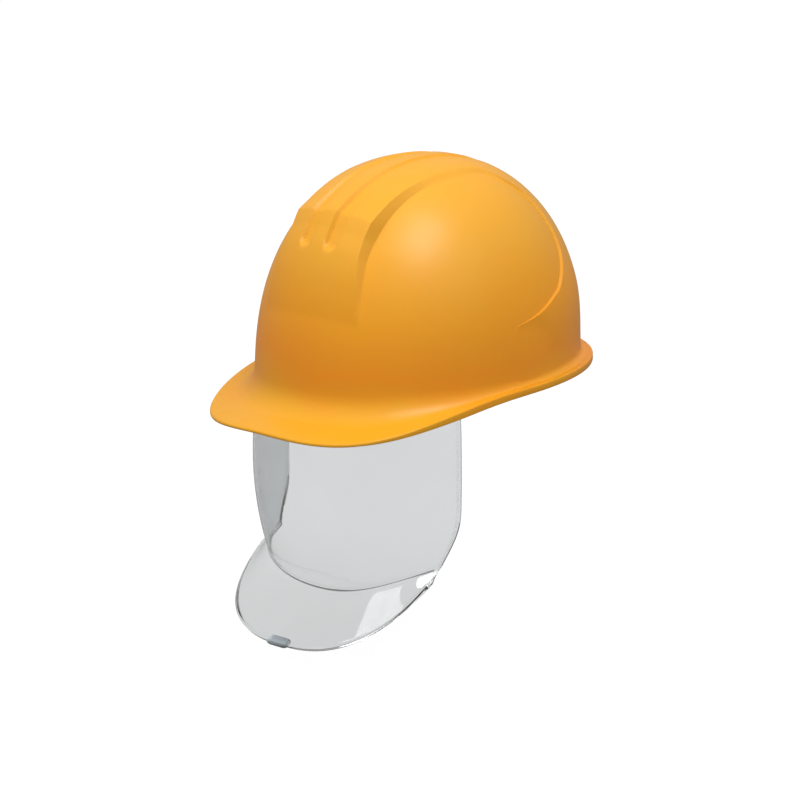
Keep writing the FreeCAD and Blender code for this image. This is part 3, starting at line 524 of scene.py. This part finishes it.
def dome_columns(turns, strips, shares, pole):
    """x of the columns at their turns: they follow the grooves' walls and the band's edges."""
    half = GROOVE_WALL / 2
    top, foot = along(turns, BAND, 1), along(turns, BAND, 2)
    stops = np.array([0 * top, 0 * top + GROOVE_IN - half, 0 * top + GROOVE_IN + half,
                      0 * top + GROOVE_OUT - half, 0 * top + GROOVE_OUT + half, top, foot, pole])
    index = np.arange(len(strips))
    low, high = stops[strips, index], stops[strips + 1, index]
    shares = np.where(strips == 6, np.sin(shares * math.pi / 2), shares)
    return low + (high - low) * shares


def dome_rows(counts):
    """Stations of the rows: 0 foot, 1 end of the grooves, 2 crease, 3 ridge, 4 foot behind."""
    return spread((0.0, 1.0, 2.0, 3.0, 4.0), counts)


def row_turn(station, x):
    """Turn about X of a row at x. Station 3 follows the ridge."""
    stops = [0 * x, 0 * x + GROOVE_END, 0 * x + CREASE_TURN, ridge_turn(x), 0 * x + 180.0]
    low = min(int(station), 3)
    share = station - low
    return stops[low] + (stops[low + 1] - stops[low]) * share


def raise_field(x, turn, height):
    """Rise of the moulded relief above the plain dome."""
    across = np.abs(x)
    top, foot, rise = (along(turn, BAND, column) for column in (1, 2, 3))
    on_band = np.clip((foot - across) / (foot - top), 0.0, 1.0)
    ridge = ridge_turn(x)
    behind = smooth(turn, ridge - 1.3, ridge + 0.2) * (1 - smooth(across, 99.2, 102.0))
    lift = np.maximum(rise * on_band, REAR_RISE * behind * smooth(height, 6.0, 48.0))
    wall = GROOVE_WALL / 2
    in_groove = (np.clip((across - GROOVE_IN + wall) / GROOVE_WALL, 0, 1)
                 * np.clip((GROOVE_OUT + wall - across) / GROOVE_WALL, 0, 1))
    middle, half = (GROOVE_IN + GROOVE_OUT) / 2, (GROOVE_OUT - GROOVE_IN) / 2 + wall
    bow = np.sqrt(np.clip(1 - ((across - middle) / half) ** 2, 0, 1))
    first = GROOVE_END + 3.2 * (1 - bow)
    length = smooth(turn, first, first + 2.4) * (1 - smooth(turn, 148.0, 153.0))
    depth = 1.7 + 0.9 * (1 - smooth(turn, 48.0, 70.0))
    lift = lift * smooth(height, 3.0, 16.0)
    return lift - depth * in_groove * length


def shrink_at(z):
    """Share of its plan that the dome keeps at a height."""
    return np.maximum(1 - (np.maximum(z, 0.0) / DOME_TOP) ** PROFILE_UP, 0.0) ** (1 / PROFILE_OUT)


def foot_of(x, rear):
    """Plan angle and height of the dome's foot at x, in front or behind."""
    height = np.full(x.shape, BLEND + RIM_LEVEL)
    for _ in range(4):
        share = np.clip(x / (DOME_HALF * shrink_at(height)), 0, 1)
        angle = np.arccos(share ** (DOME_PLAN / 2)) * np.where(rear, 1, -1)
        base = dome_point(angle, 0 * angle)
        flange = np.linalg.norm(rim_point(angle) - base, axis=-1)
        height = rim_height(base[:, 0], base[:, 1]) + blend_size(angle, flange)
    return angle, height


def dome_patch(stations, scale, offset, relief):
    """Grid over the dome, from its foot in front to its foot behind, side pole to side pole.
    Also the plan angles of its feet, for the skirt."""
    strips, shares = column_plan(scale)
    side_height = RIM_LEVEL + (RIM_HALF - DOME_HALF) / 2
    pole = DOME_HALF * shrink_at(side_height) + np.zeros(len(strips))
    rows, feet = [], []
    for station in stations:
        x = 20.0 + np.zeros(len(strips))
        for _ in range(4):
            turn = row_turn(station, x)
            x = dome_columns(turn, strips, shares, pole)
        rear = turn > 90
        angle, low = foot_of(x, rear)
        side = (x / DOME_HALF) ** DOME_PLAN
        top = DOME_TOP * (1 - side ** (PROFILE_OUT / DOME_PLAN)) ** (1 / PROFILE_UP)
        lift = np.abs(np.sin(np.radians(turn))) ** (2 / PROFILE_UP)
        z = low + (np.maximum(top, low) - low) * lift
        plain = np.stack([x, dome_y(x, z, rear), z], -1)
        rise = raise_field(x, turn, z - low) * relief + offset
        half = plain + dome_gradient(plain) * rise[:, None]
        rows.append(np.concatenate([half[:0:-1] * (-1, 1, 1), half]))
        feet.append(np.concatenate([math.pi - angle[:0:-1], angle]))
    return np.array(rows), feet[0], feet[-1]


def ring_of(patch):
    """The patch's border in order: the front foot from right to left, then the rear foot back."""
    return np.concatenate([patch[0], patch[-1][-2:0:-1]])


def build_shell():
    """Shell: relief outside, plainer inside, and a brim with a turned-down lip between them."""
    outer, front, rear = dome_patch(dome_rows((34, 20, 70, 50)), 1.0, 0.0, 1.0)
    inner = dome_patch(dome_rows((8, 6, 18, 14)), 1.0, -WALL, 0.75)[0]
    ring = ring_of(outer)
    columns = outer.shape[1]
    skirt = Skirt(np.concatenate([front, rear[-2:0:-1]]))
    rows = [ring]
    for turn in np.radians((75, 60, 45, 30, 15, 0)):
        rows.append(skirt.row(skirt.blend * (1 - np.sin(turn)), skirt.blend * (1 - np.cos(turn))))
    for share in np.linspace(0, 1, 12)[1:]:
        distance = skirt.blend + (skirt.flange - EDGE_TOP - skirt.blend) * share
        rows.append(skirt.row(distance, 0.0))
    for turn in np.radians((30, 60, 90)):
        rows.append(skirt.row(skirt.flange - EDGE_TOP + EDGE_TOP * np.sin(turn),
                              EDGE_TOP * (np.cos(turn) - 1)))
    for turn in np.radians((0, 45, 90)):
        rows.append(skirt.row(skirt.flange - EDGE_LOW + EDGE_LOW * np.cos(turn),
                              -skirt.lip + EDGE_LOW - EDGE_LOW * np.sin(turn)))
    inside = skirt.flange - BRIM
    rows.append(skirt.row(inside + EDGE_INSIDE, -skirt.lip))
    rows.append(skirt.row(inside, -np.maximum(skirt.lip - EDGE_INSIDE, BRIM)))
    rows.append(skirt.row(inside - 0.1, -BRIM))
    inner_blend = skirt.blend + WALL
    for share in np.linspace(0, 1, 9)[1:]:
        distance = inside + (inner_blend - WALL - inside) * share
        rows.append(skirt.row(np.minimum(distance, inside), -BRIM))
    for turn in np.radians((15, 30, 45, 60, 75)):
        rows.append(skirt.row(inner_blend * (1 - np.sin(turn)) - WALL,
                              inner_blend * (1 - np.cos(turn)) - BRIM))
    rows.append(ring_of(inner))
    points = np.concatenate([outer.reshape(-1, 3), inner.reshape(-1, 3)]
                            + [np.array(rows).reshape(-1, 3)])
    faces = grid_faces(0, outer.shape[0], columns)
    start = outer.shape[0] * columns
    faces += grid_faces(start, inner.shape[0], columns, flip=True)
    start += inner.shape[0] * columns
    faces += grid_faces(start, len(rows), len(ring), wrap=True)
    piece = add_mesh("shell_moulding", points, faces, SHELL, "hat", 28)
    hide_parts("shell")


build_shell()


# ---------------------------------------------------------------- face shield

GUIDE_Y, GUIDE_Z = 97.0, -58.0
LENS_HALF, LENS_DEPTH, LENS_START, LENS_PLAN, LENS_SHEET = 89.5, 98.0, -20.0, 2.65, 1.6
LENS_TOP, LENS_REAR = 8.0, -45.0
CREASE_DROP, CREASE_RISE, CREASE_SPAN = 141.0, 20.2, 81.0
CHIN_HALF, CHIN_DEPTH, CHIN_PLAN = 84.0, 89.5, 2.5
CHIN_Y, CHIN_Z, CHIN_SLOPE = -65.0, -122.0, math.radians(36.4)
CHIN_BEGINS = math.radians(21.6)
# rear corner: it starts at a share of the wall's height and meets the crease at a plan angle
WALL_DROP, CORNER_START, CORNER_POWER, CORNER_ANGLE = 128.0, 0.70, 2.8, math.radians(25.2)
TOP_CORNER, TOP_CORNER_TURN = 0.05, 0.07
RIM_BEAD, CREASE_RAISED, CREASE_BEAD, CREASE_WIDTH, CHIN_BELLY = 0.9, 0.5, 0.9, 0.8, 1.5
TAB_HALF, TAB_RUN, TAB_RISE, TAB_BACK, TAB_LIFT = 10.0, 3.9, 1.5, 1.2, 0.9


def lens_plan(angle):
    """x and turning radius of the lens at a plan angle."""
    x = LENS_HALF * power(np.cos(angle), 2 / LENS_PLAN)
    return x, GUIDE_Y - (LENS_START - LENS_DEPTH * power(np.sin(angle), 2 / LENS_PLAN))


def lens_point(angle, z):
    """Point of the lens wall at a plan angle and a height."""
    x, radius = lens_plan(angle)
    return np.stack([x, GUIDE_Y - np.sqrt(radius ** 2 - (z - GUIDE_Z) ** 2), z + 0 * x], -1)


def chin_edge(angle):
    """Free edge of the flared chin part, on a plane that slopes forward and down."""
    mirror = angle > math.pi / 2
    local = np.where(mirror, math.pi - angle, angle)
    turn = np.maximum((local - CHIN_BEGINS) / (math.pi / 2 - CHIN_BEGINS), 0.0) * math.pi / 2
    x = CHIN_HALF * power(np.cos(turn), 2 / CHIN_PLAN)
    reach = CHIN_DEPTH * power(np.sin(turn), 2 / CHIN_PLAN)
    return np.stack([np.where(mirror, -x, x), CHIN_Y - reach * math.cos(CHIN_SLOPE),
                     CHIN_Z - reach * math.sin(CHIN_SLOPE)], -1)


def rear_angle(z):
    """Plan angle at which the lens reaches its upright rear edge."""
    radius = np.hypot(GUIDE_Y - LENS_REAR, z - GUIDE_Z)
    share = (radius - (GUIDE_Y - LENS_START)) / LENS_DEPTH
    return math.asin(share ** (LENS_PLAN / 2))


def lens_row(share, columns):
    """Row of the wall from its top (0) to the crease (1), with the rear corner rounded off."""
    first = rear_angle(LENS_TOP - WALL_DROP * share)
    corner = max(share - CORNER_START, 0.0) / (1 - CORNER_START)
    first += (CORNER_ANGLE - first) * corner ** CORNER_POWER
    top_corner = max(TOP_CORNER - share, 0.0) / TOP_CORNER
    first += TOP_CORNER_TURN * top_corner ** 2
    angles = first + (math.pi - 2 * first) * columns
    x = lens_plan(angles)[0]
    crease = -CREASE_DROP + CREASE_RISE * (x / CREASE_SPAN) ** 2
    return lens_point(angles, LENS_TOP + (crease - LENS_TOP) * share), angles


def build_shield():
    """Clear sheet: wall, crease with a moulded bead, flared chin part, and a thicker rim."""
    columns = np.concatenate([[0, 0.004, 0.008, 0.014], np.linspace(0.02, 0.98, 121),
                              [0.986, 0.992, 0.996, 1]])
    shares = np.concatenate([[0, 0.006, 0.012, 0.02], np.linspace(0.03, 0.96, 60),
                             [0.975, 0.988, 0.996, 1.0]])
    rows = []
    for share in shares:
        points, angles = lens_row(share, columns)
        rows.append(points)
    root, edge = rows[-1], chin_edge(angles)
    flare = np.concatenate([np.linspace(0.03, 0.90, 14), [0.93, 0.96, 0.98, 1.0]])
    for share in flare:
        belly = CHIN_BELLY * math.sin(share * math.pi)
        rows.append(root + (edge - root) * share + np.array([0, 0, -belly]) * 0.3)
    outer = np.array(rows)
    normals = grid_normals(outer)
    if normals[30, 60, 1] > 0:
        normals = -normals
    depth = np.full(outer.shape[:2], LENS_SHEET)
    from_top = smooth(np.arange(len(rows)), 3, 1)
    from_chin = smooth(np.arange(len(rows)), len(rows) - 4, len(rows) - 2)
    from_side = np.maximum(smooth(np.arange(len(columns)), 3, 1),
                           smooth(np.arange(len(columns)), len(columns) - 4, len(columns) - 2))
    bead = np.maximum(np.maximum(from_top, from_chin)[:, None], from_side[None, :])
    depth += RIM_BEAD * bead
    crease = np.exp(-((np.arange(len(rows)) - (len(shares) - 1)) / CREASE_WIDTH) ** 2)
    outer = outer + normals * (CREASE_RAISED * crease)[:, None, None]
    depth += (CREASE_BEAD * crease)[:, None]
    inner = outer - normals * depth[..., None]
    piece = closed_sheet(outer, inner, "shield_lens", CLEAR, "shield", 50)
    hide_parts("face_shield")


build_shield()


def build_tab():
    """Rounded grip bar that stands on the chin's flare, with its front just past the edge."""
    sides, ups = np.linspace(-1, 1, 33), np.radians(np.linspace(0, 360, 33))
    tip = chin_edge(np.array([math.pi / 2]))[0]
    ahead = np.array([0, -math.cos(CHIN_SLOPE), -math.sin(CHIN_SLOPE)])
    lift = np.array([0, -math.sin(CHIN_SLOPE), math.cos(CHIN_SLOPE)])
    rings = []
    for side in sides:
        full = (1 - abs(side) ** 6) ** 0.5
        middle = tip + np.array([TAB_HALF * side, 0, 0]) - ahead * TAB_BACK + lift * TAB_LIFT
        run, rise = TAB_RUN * (0.55 + 0.45 * full), TAB_RISE * max(full, 0.25)
        rings.append(middle + ahead * (run * power(np.cos(ups), 0.45))[:, None]
                     + lift * (rise * power(np.sin(ups), 0.6))[:, None])
    rings = [np.repeat(rings[0].mean(0)[None], 33, 0), *rings,
             np.repeat(rings[-1].mean(0)[None], 33, 0)]
    grid = np.array(rings)
    piece = add_mesh("shield_tab", grid.reshape(-1, 3), grid_faces(0, *grid.shape[:2]), TAB,
                     "shield", 60)
    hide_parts("grip_tab")


build_tab()


# ---------------------------------------------------------------- sockets inside the shell

HANGER_ANGLES = (11, 169, 56, 124)
HANGER_WIDTH, TONGUE_START, TONGUE_SHEET, SOCKET_DEPTH = 11.0, 1.4, 1.8, 5.2
SOCKET_LOW, SOCKET_HIGH, SOCKET_BITE, SOCKET_GAP = 13.0, 30.0, 1.2, 0.15


def add_box(points, faces, foot, ahead, inward, sides, depths, heights):
    """Box on a wall: across its width, from it inward, and between two heights."""
    first = len(points)
    for z in heights:
        for side, depth in ((0, 0), (1, 0), (1, 1), (0, 1)):
            place = foot + ahead * sides[side] + inward * depths[depth]
            points.append((place[0], place[1], z))
    quads = ((0, 1, 2, 3), (4, 5, 6, 7), (0, 1, 5, 4), (1, 2, 6, 5), (2, 3, 7, 6), (3, 0, 4, 7))
    faces += [[first + corner for corner in quad] for quad in quads]


def build_sockets():
    """Moulded pockets that the hangers' tongues push up into: two cheeks, a bridge and a top."""
    points, faces = [], []
    half = HANGER_WIDTH / 2
    slot_end = TONGUE_START + TONGUE_SHEET + SOCKET_GAP
    for degrees in HANGER_ANGLES:
        angle = np.array([math.radians(degrees), math.radians(degrees) + 0.02])
        foot, beside = dome_point(angle, 0 * angle, -WALL)
        ahead = unit(beside - foot)
        inward = np.array([-ahead[1], ahead[0], 0])
        inward = -inward if inward @ foot > 0 else inward
        for side in (-1, 1):
            cheek = sorted((side * (half + SOCKET_GAP), side * (half + 2)))
            add_box(points, faces, foot, ahead, inward, cheek, (-SOCKET_BITE, SOCKET_DEPTH),
                    (SOCKET_LOW, SOCKET_HIGH))
        sides = (-half - SOCKET_GAP, half + SOCKET_GAP)
        add_box(points, faces, foot, ahead, inward, sides, (slot_end, SOCKET_DEPTH),
                (SOCKET_LOW, SOCKET_HIGH))
        add_box(points, faces, foot, ahead, inward, sides, (-SOCKET_BITE, slot_end),
                (SOCKET_HIGH - 2, SOCKET_HIGH))
    piece = add_mesh("shell_sockets", points, faces, SHELL, "hat")


build_sockets()


# ---------------------------------------------------------------- crown straps

STRAP_WIDTH, STRAP_SHEET, STRAP_TOP, STRAP_FRONT, STRAP_SIDE = 20.0, 1.2, 102.0, 91.0, 75.0
STRAP_PLAN, STRAP_FOOT = 2.2, 18.0
STRAPS = (("crown_strap_middle", 90), ("crown_strap_left", 28), ("crown_strap_right", 152))


def build_strap(name, heading, order):
    """Webbing that arches over the head, with rounded selvedges and a sewn bar near each end."""
    along_strap = np.array([math.cos(heading), math.sin(heading), 0])
    across = np.array([-math.sin(heading), math.cos(heading), 0])
    reach = 1 / math.hypot(along_strap[0] / STRAP_SIDE, along_strap[1] / STRAP_FRONT)
    rise, run = STRAP_TOP + order * (STRAP_SHEET + 0.4), reach + order * 0.3
    foot = math.asin((STRAP_FOOT / rise) ** (STRAP_PLAN / 2))
    turns = np.linspace(foot, math.pi - foot, 240)
    path = (along_strap * (run * power(np.cos(turns), 2 / STRAP_PLAN))[:, None]
            + np.array([0, 0, 1]) * (rise * power(np.sin(turns), 2 / STRAP_PLAN))[:, None])
    lift = unit(np.cross(np.gradient(path, axis=0), across))
    lift = lift if lift[len(lift) // 2, 2] > 0 else -lift
    lanes = np.concatenate([[-0.5, -0.49, -0.47], np.linspace(-0.44, 0.44, 15), [0.47, 0.49, 0.5]])
    selvedge = 1 - 0.55 * smooth(np.abs(lanes), 0.46, 0.5)
    length = np.arange(len(turns))
    from_end = np.minimum(length, len(turns) - 1 - length)
    bars = sum(np.exp(-((from_end - place) / 0.8) ** 2) for place in (9, 13, 17))
    bars = bars[:, None] * smooth(0.42 - np.abs(lanes), 0, 0.03)[None, :]
    middle = path[:, None] + across * (lanes * STRAP_WIDTH)[None, :, None] + (
        lift * STRAP_SHEET / 2)[:, None]
    half = (STRAP_SHEET / 2) * selvedge[None, :] - 0.12 * bars
    over = middle + lift[:, None] * half[..., None]
    under = middle - lift[:, None] * half[..., None]
    piece = closed_sheet(over, under, name + "_webbing", WEBBING, "hat", 50)
    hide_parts(name)


for order, (name, degrees) in enumerate(STRAPS):
    build_strap(name, math.radians(degrees), order)


# ---------------------------------------------------------------- pads

BAND_HALF, BAND_FRONT, BAND_PLAN, BAND_SHEET = 77.0, 96.0, 2.3, 1.5
PAD_SHEET, CROWN_PAD_RADIUS = 3.5, 20.0


def pad_profile(share):
    """Thickness across a pad: full in the middle, rounded down to a thin sewn edge."""
    return 0.22 + 0.78 * (1 - np.abs(2 * share - 1) ** 4) ** 0.5


def build_strip_pad(name, path, low, high, thickness, seams):
    """Pad along a level path: flat at its back, crowned in front, with upright sewn channels."""
    across = np.linspace(0, 1, 25)
    inward = unit(np.cross(np.gradient(path, axis=0), (0, 0, 1)))
    inward = inward if (inward * path).sum() < 0 else -inward
    length = np.linspace(0, 1, len(path))
    ends = pad_profile(np.clip(length * 14, 0, 0.5) + np.clip((length - 1) * 14 + 0.5, 0, 0.5))
    channel = sum(np.exp(-((length - seam) / 0.0045) ** 2) for seam in seams)
    quilt = np.minimum(1, 1 - 0.45 * channel)
    depth = thickness * (ends * quilt)[:, None] * pad_profile(across)[None, :]
    heights = low + (high - low) * across
    back = np.stack([np.repeat(path[:, None, 0], 25, 1), np.repeat(path[:, None, 1], 25, 1),
                     np.repeat(heights[None, :], len(path), 0)], -1)
    piece = closed_sheet(back, back + inward[:, None] * depth[..., None], name + "_cover", PAD,
                         "hat", 60)
    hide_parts(name)


def build_brow_pad():
    """Sweat pad inside the front of the headband."""
    angles = np.linspace(math.radians(-149), math.radians(-31), 300)
    half, front = BAND_HALF - BAND_SHEET - 0.2, BAND_FRONT - BAND_SHEET - 0.2
    path = np.stack([half * power(np.cos(angles), 2 / BAND_PLAN),
                     front * power(np.sin(angles), 2 / BAND_PLAN), 0 * angles], -1)
    build_strip_pad("brow_pad", path, -11.0, 11.0, PAD_SHEET - 0.1, np.linspace(0.1, 0.9, 9))


def build_nape_pad():
    """Pad in front of the ratchet."""
    radius, centre_y = 75.8, 22.0
    angles = np.radians(np.linspace(90 - 18.5, 90 + 18.5, 120))
    path = np.stack([radius * np.cos(angles), centre_y + radius * np.sin(angles), 0 * angles], -1)
    build_strip_pad("nape_pad", path, -16.2, 0.2, PAD_SHEET - 0.5, (0.25, 0.5, 0.75))


def build_crown_pad():
    """Round pad under the straps' crossing, pressed in by a sewn ring and a cross."""
    low, high = (corner[2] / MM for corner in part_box("crown_pad"))
    radii = np.concatenate([np.linspace(0.0, 0.9, 40), np.linspace(0.92, 1.0, 8)])
    turns = np.linspace(0, 2 * math.pi, 121)
    shape = np.sqrt(np.maximum(1 - radii ** 8, 0))[:, None]
    x, y = radii[:, None] * np.cos(turns), radii[:, None] * np.sin(turns)
    ring = np.exp(-((radii - 0.8) / 0.03) ** 2)[:, None]
    cross = np.exp(-(np.minimum(np.abs(x), np.abs(y)) / 0.03) ** 2)
    cross = cross * smooth(0.8 - radii, 0, 0.05)[:, None]
    half = (high - low) / 2 * (0.2 + 0.8 * shape) * (1 - 0.3 * np.maximum(ring, cross))
    middle = (low + high) / 2
    over = np.stack([x * CROWN_PAD_RADIUS, y * CROWN_PAD_RADIUS, middle + half], -1)
    under = np.stack([x * CROWN_PAD_RADIUS, y * CROWN_PAD_RADIUS, middle - half], -1)
    rows = np.concatenate([over, under[::-1]])
    piece = add_mesh("crown_pad_cover", rows.reshape(-1, 3), grid_faces(0, *rows.shape[:2]), PAD,
                     "hat", 70)
    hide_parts("crown_pad")


build_brow_pad()
build_nape_pad()
build_crown_pad()


# ---------------------------------------------------------------- finishes of the CAD nodes

FINISHES = {
    "impact_liner": FOAM, "grip_tab": TAB, "stop_pads": RUBBER, "rail_screws": STEEL,
    "shield_rivets": STEEL, "knob_screw": STEEL, "ratchet_pinion": SLIDER, "ratchet_knob": KNOB,
    "sliders_left": SLIDER, "sliders_right": SLIDER, "guide_rail_left": RAIL,
    "guide_rail_right": RAIL, "shield_arm_left": RAIL, "shield_arm_right": RAIL,
    "band_studs": RAIL,
}


def finish_nodes():
    """Materials for the CAD nodes that stay in sight."""
    for name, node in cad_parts.items():
        node.data.materials.clear()
        node.data.materials.append(FINISHES.get(name, HARNESS))


finish_nodes()


# ---------------------------------------------------------------- camera, lights and floor

PHOTO_AZIMUTH, PHOTO_ELEVATION, PHOTO_ROLL = map(math.radians, (46.0, 13.54, -0.54))
CAMERA_DISTANCE, CAMERA_RIGHT, CAMERA_UP, LENS_MM = 3.0, -0.0126, -0.0249, 191.7


def add_camera():
    """Long lens at the photograph's angle, aimed a little off the origin."""
    a, e, r = PHOTO_AZIMUTH, PHOTO_ELEVATION, PHOTO_ROLL
    back = Vector((math.sin(a) * math.cos(e), -math.cos(a) * math.cos(e), math.sin(e)))
    level = Vector((math.cos(a), math.sin(a), 0))
    upright = back.cross(level)
    right = math.cos(r) * level + math.sin(r) * upright
    up = -math.sin(r) * level + math.cos(r) * upright
    camera = bpy.data.cameras.new("camera")
    camera.lens = LENS_MM
    camera.sensor_width = 36
    camera.clip_end = 20
    holder = bpy.data.objects.new("camera", camera)
    place = back * CAMERA_DISTANCE + right * CAMERA_RIGHT + up * CAMERA_UP
    turned = Matrix((right, up, back)).transposed().to_4x4()
    holder.matrix_world = Matrix.Translation(place) @ turned
    bpy.context.scene.collection.objects.link(holder)
    bpy.context.scene.camera = holder


def add_area(name, place, size, watts):
    """Soft box that faces the middle of the helmet."""
    light = bpy.data.lights.new(name, "AREA")
    light.shape = "DISK"
    light.size = size
    light.energy = watts
    holder = bpy.data.objects.new(name, light)
    holder.location = place
    away = Vector(place) - Vector((0, 0, 0.02))
    holder.rotation_euler = away.to_track_quat("Z", "Y").to_euler()
    bpy.context.scene.collection.objects.link(holder)
    return holder


AMBIENT_LOW, AMBIENT_HIGH = 0.24, 0.58


def add_studio():
    """World that is white to the camera and graded from below to above for light, three soft
    boxes and a pale floor."""
    world = bpy.data.worlds.new("studio")
    world.use_nodes = True
    background = world.node_tree.nodes["Background"]
    background.inputs["Color"].default_value = (1, 1, 1, 1)
    place = world.node_tree.nodes.new("ShaderNodeTexCoord")
    split = world.node_tree.nodes.new("ShaderNodeSeparateXYZ")
    sky = world.node_tree.nodes.new("ShaderNodeMapRange")
    sky.inputs["From Min"].default_value = -0.4
    sky.inputs["From Max"].default_value = 0.6
    sky.inputs["To Min"].default_value = AMBIENT_LOW
    sky.inputs["To Max"].default_value = AMBIENT_HIGH
    path = world.node_tree.nodes.new("ShaderNodeLightPath")
    level = world.node_tree.nodes.new("ShaderNodeMapRange")
    level.inputs["To Max"].default_value = 1.0
    world.node_tree.links.new(place.outputs["Generated"], split.inputs["Vector"])
    world.node_tree.links.new(split.outputs["Z"], sky.inputs["Value"])
    world.node_tree.links.new(sky.outputs["Result"], level.inputs["To Min"])
    world.node_tree.links.new(path.outputs["Is Camera Ray"], level.inputs["Value"])
    world.node_tree.links.new(level.outputs["Result"], background.inputs["Strength"])
    bpy.context.scene.world = world
    bpy.context.scene.view_settings.view_transform = "Standard"
    add_area("key", (0.85, -0.3, 1.75), 1.1, 25)
    add_area("front", (-0.5, -1.3, 1.6), 1.2, 21).visible_glossy = False
    add_area("side", (1.7, 0.3, 1.0), 0.8, 5).visible_glossy = False
    bpy.ops.mesh.primitive_plane_add(size=8, location=(0, 0, cad_box[0][2] - 0.012))
    floor = bpy.context.object
    floor.name = "floor"
    floor.data.materials.append(floor_material())
    floor.visible_diffuse = False
    floor.visible_glossy = False


add_camera()
add_studio()
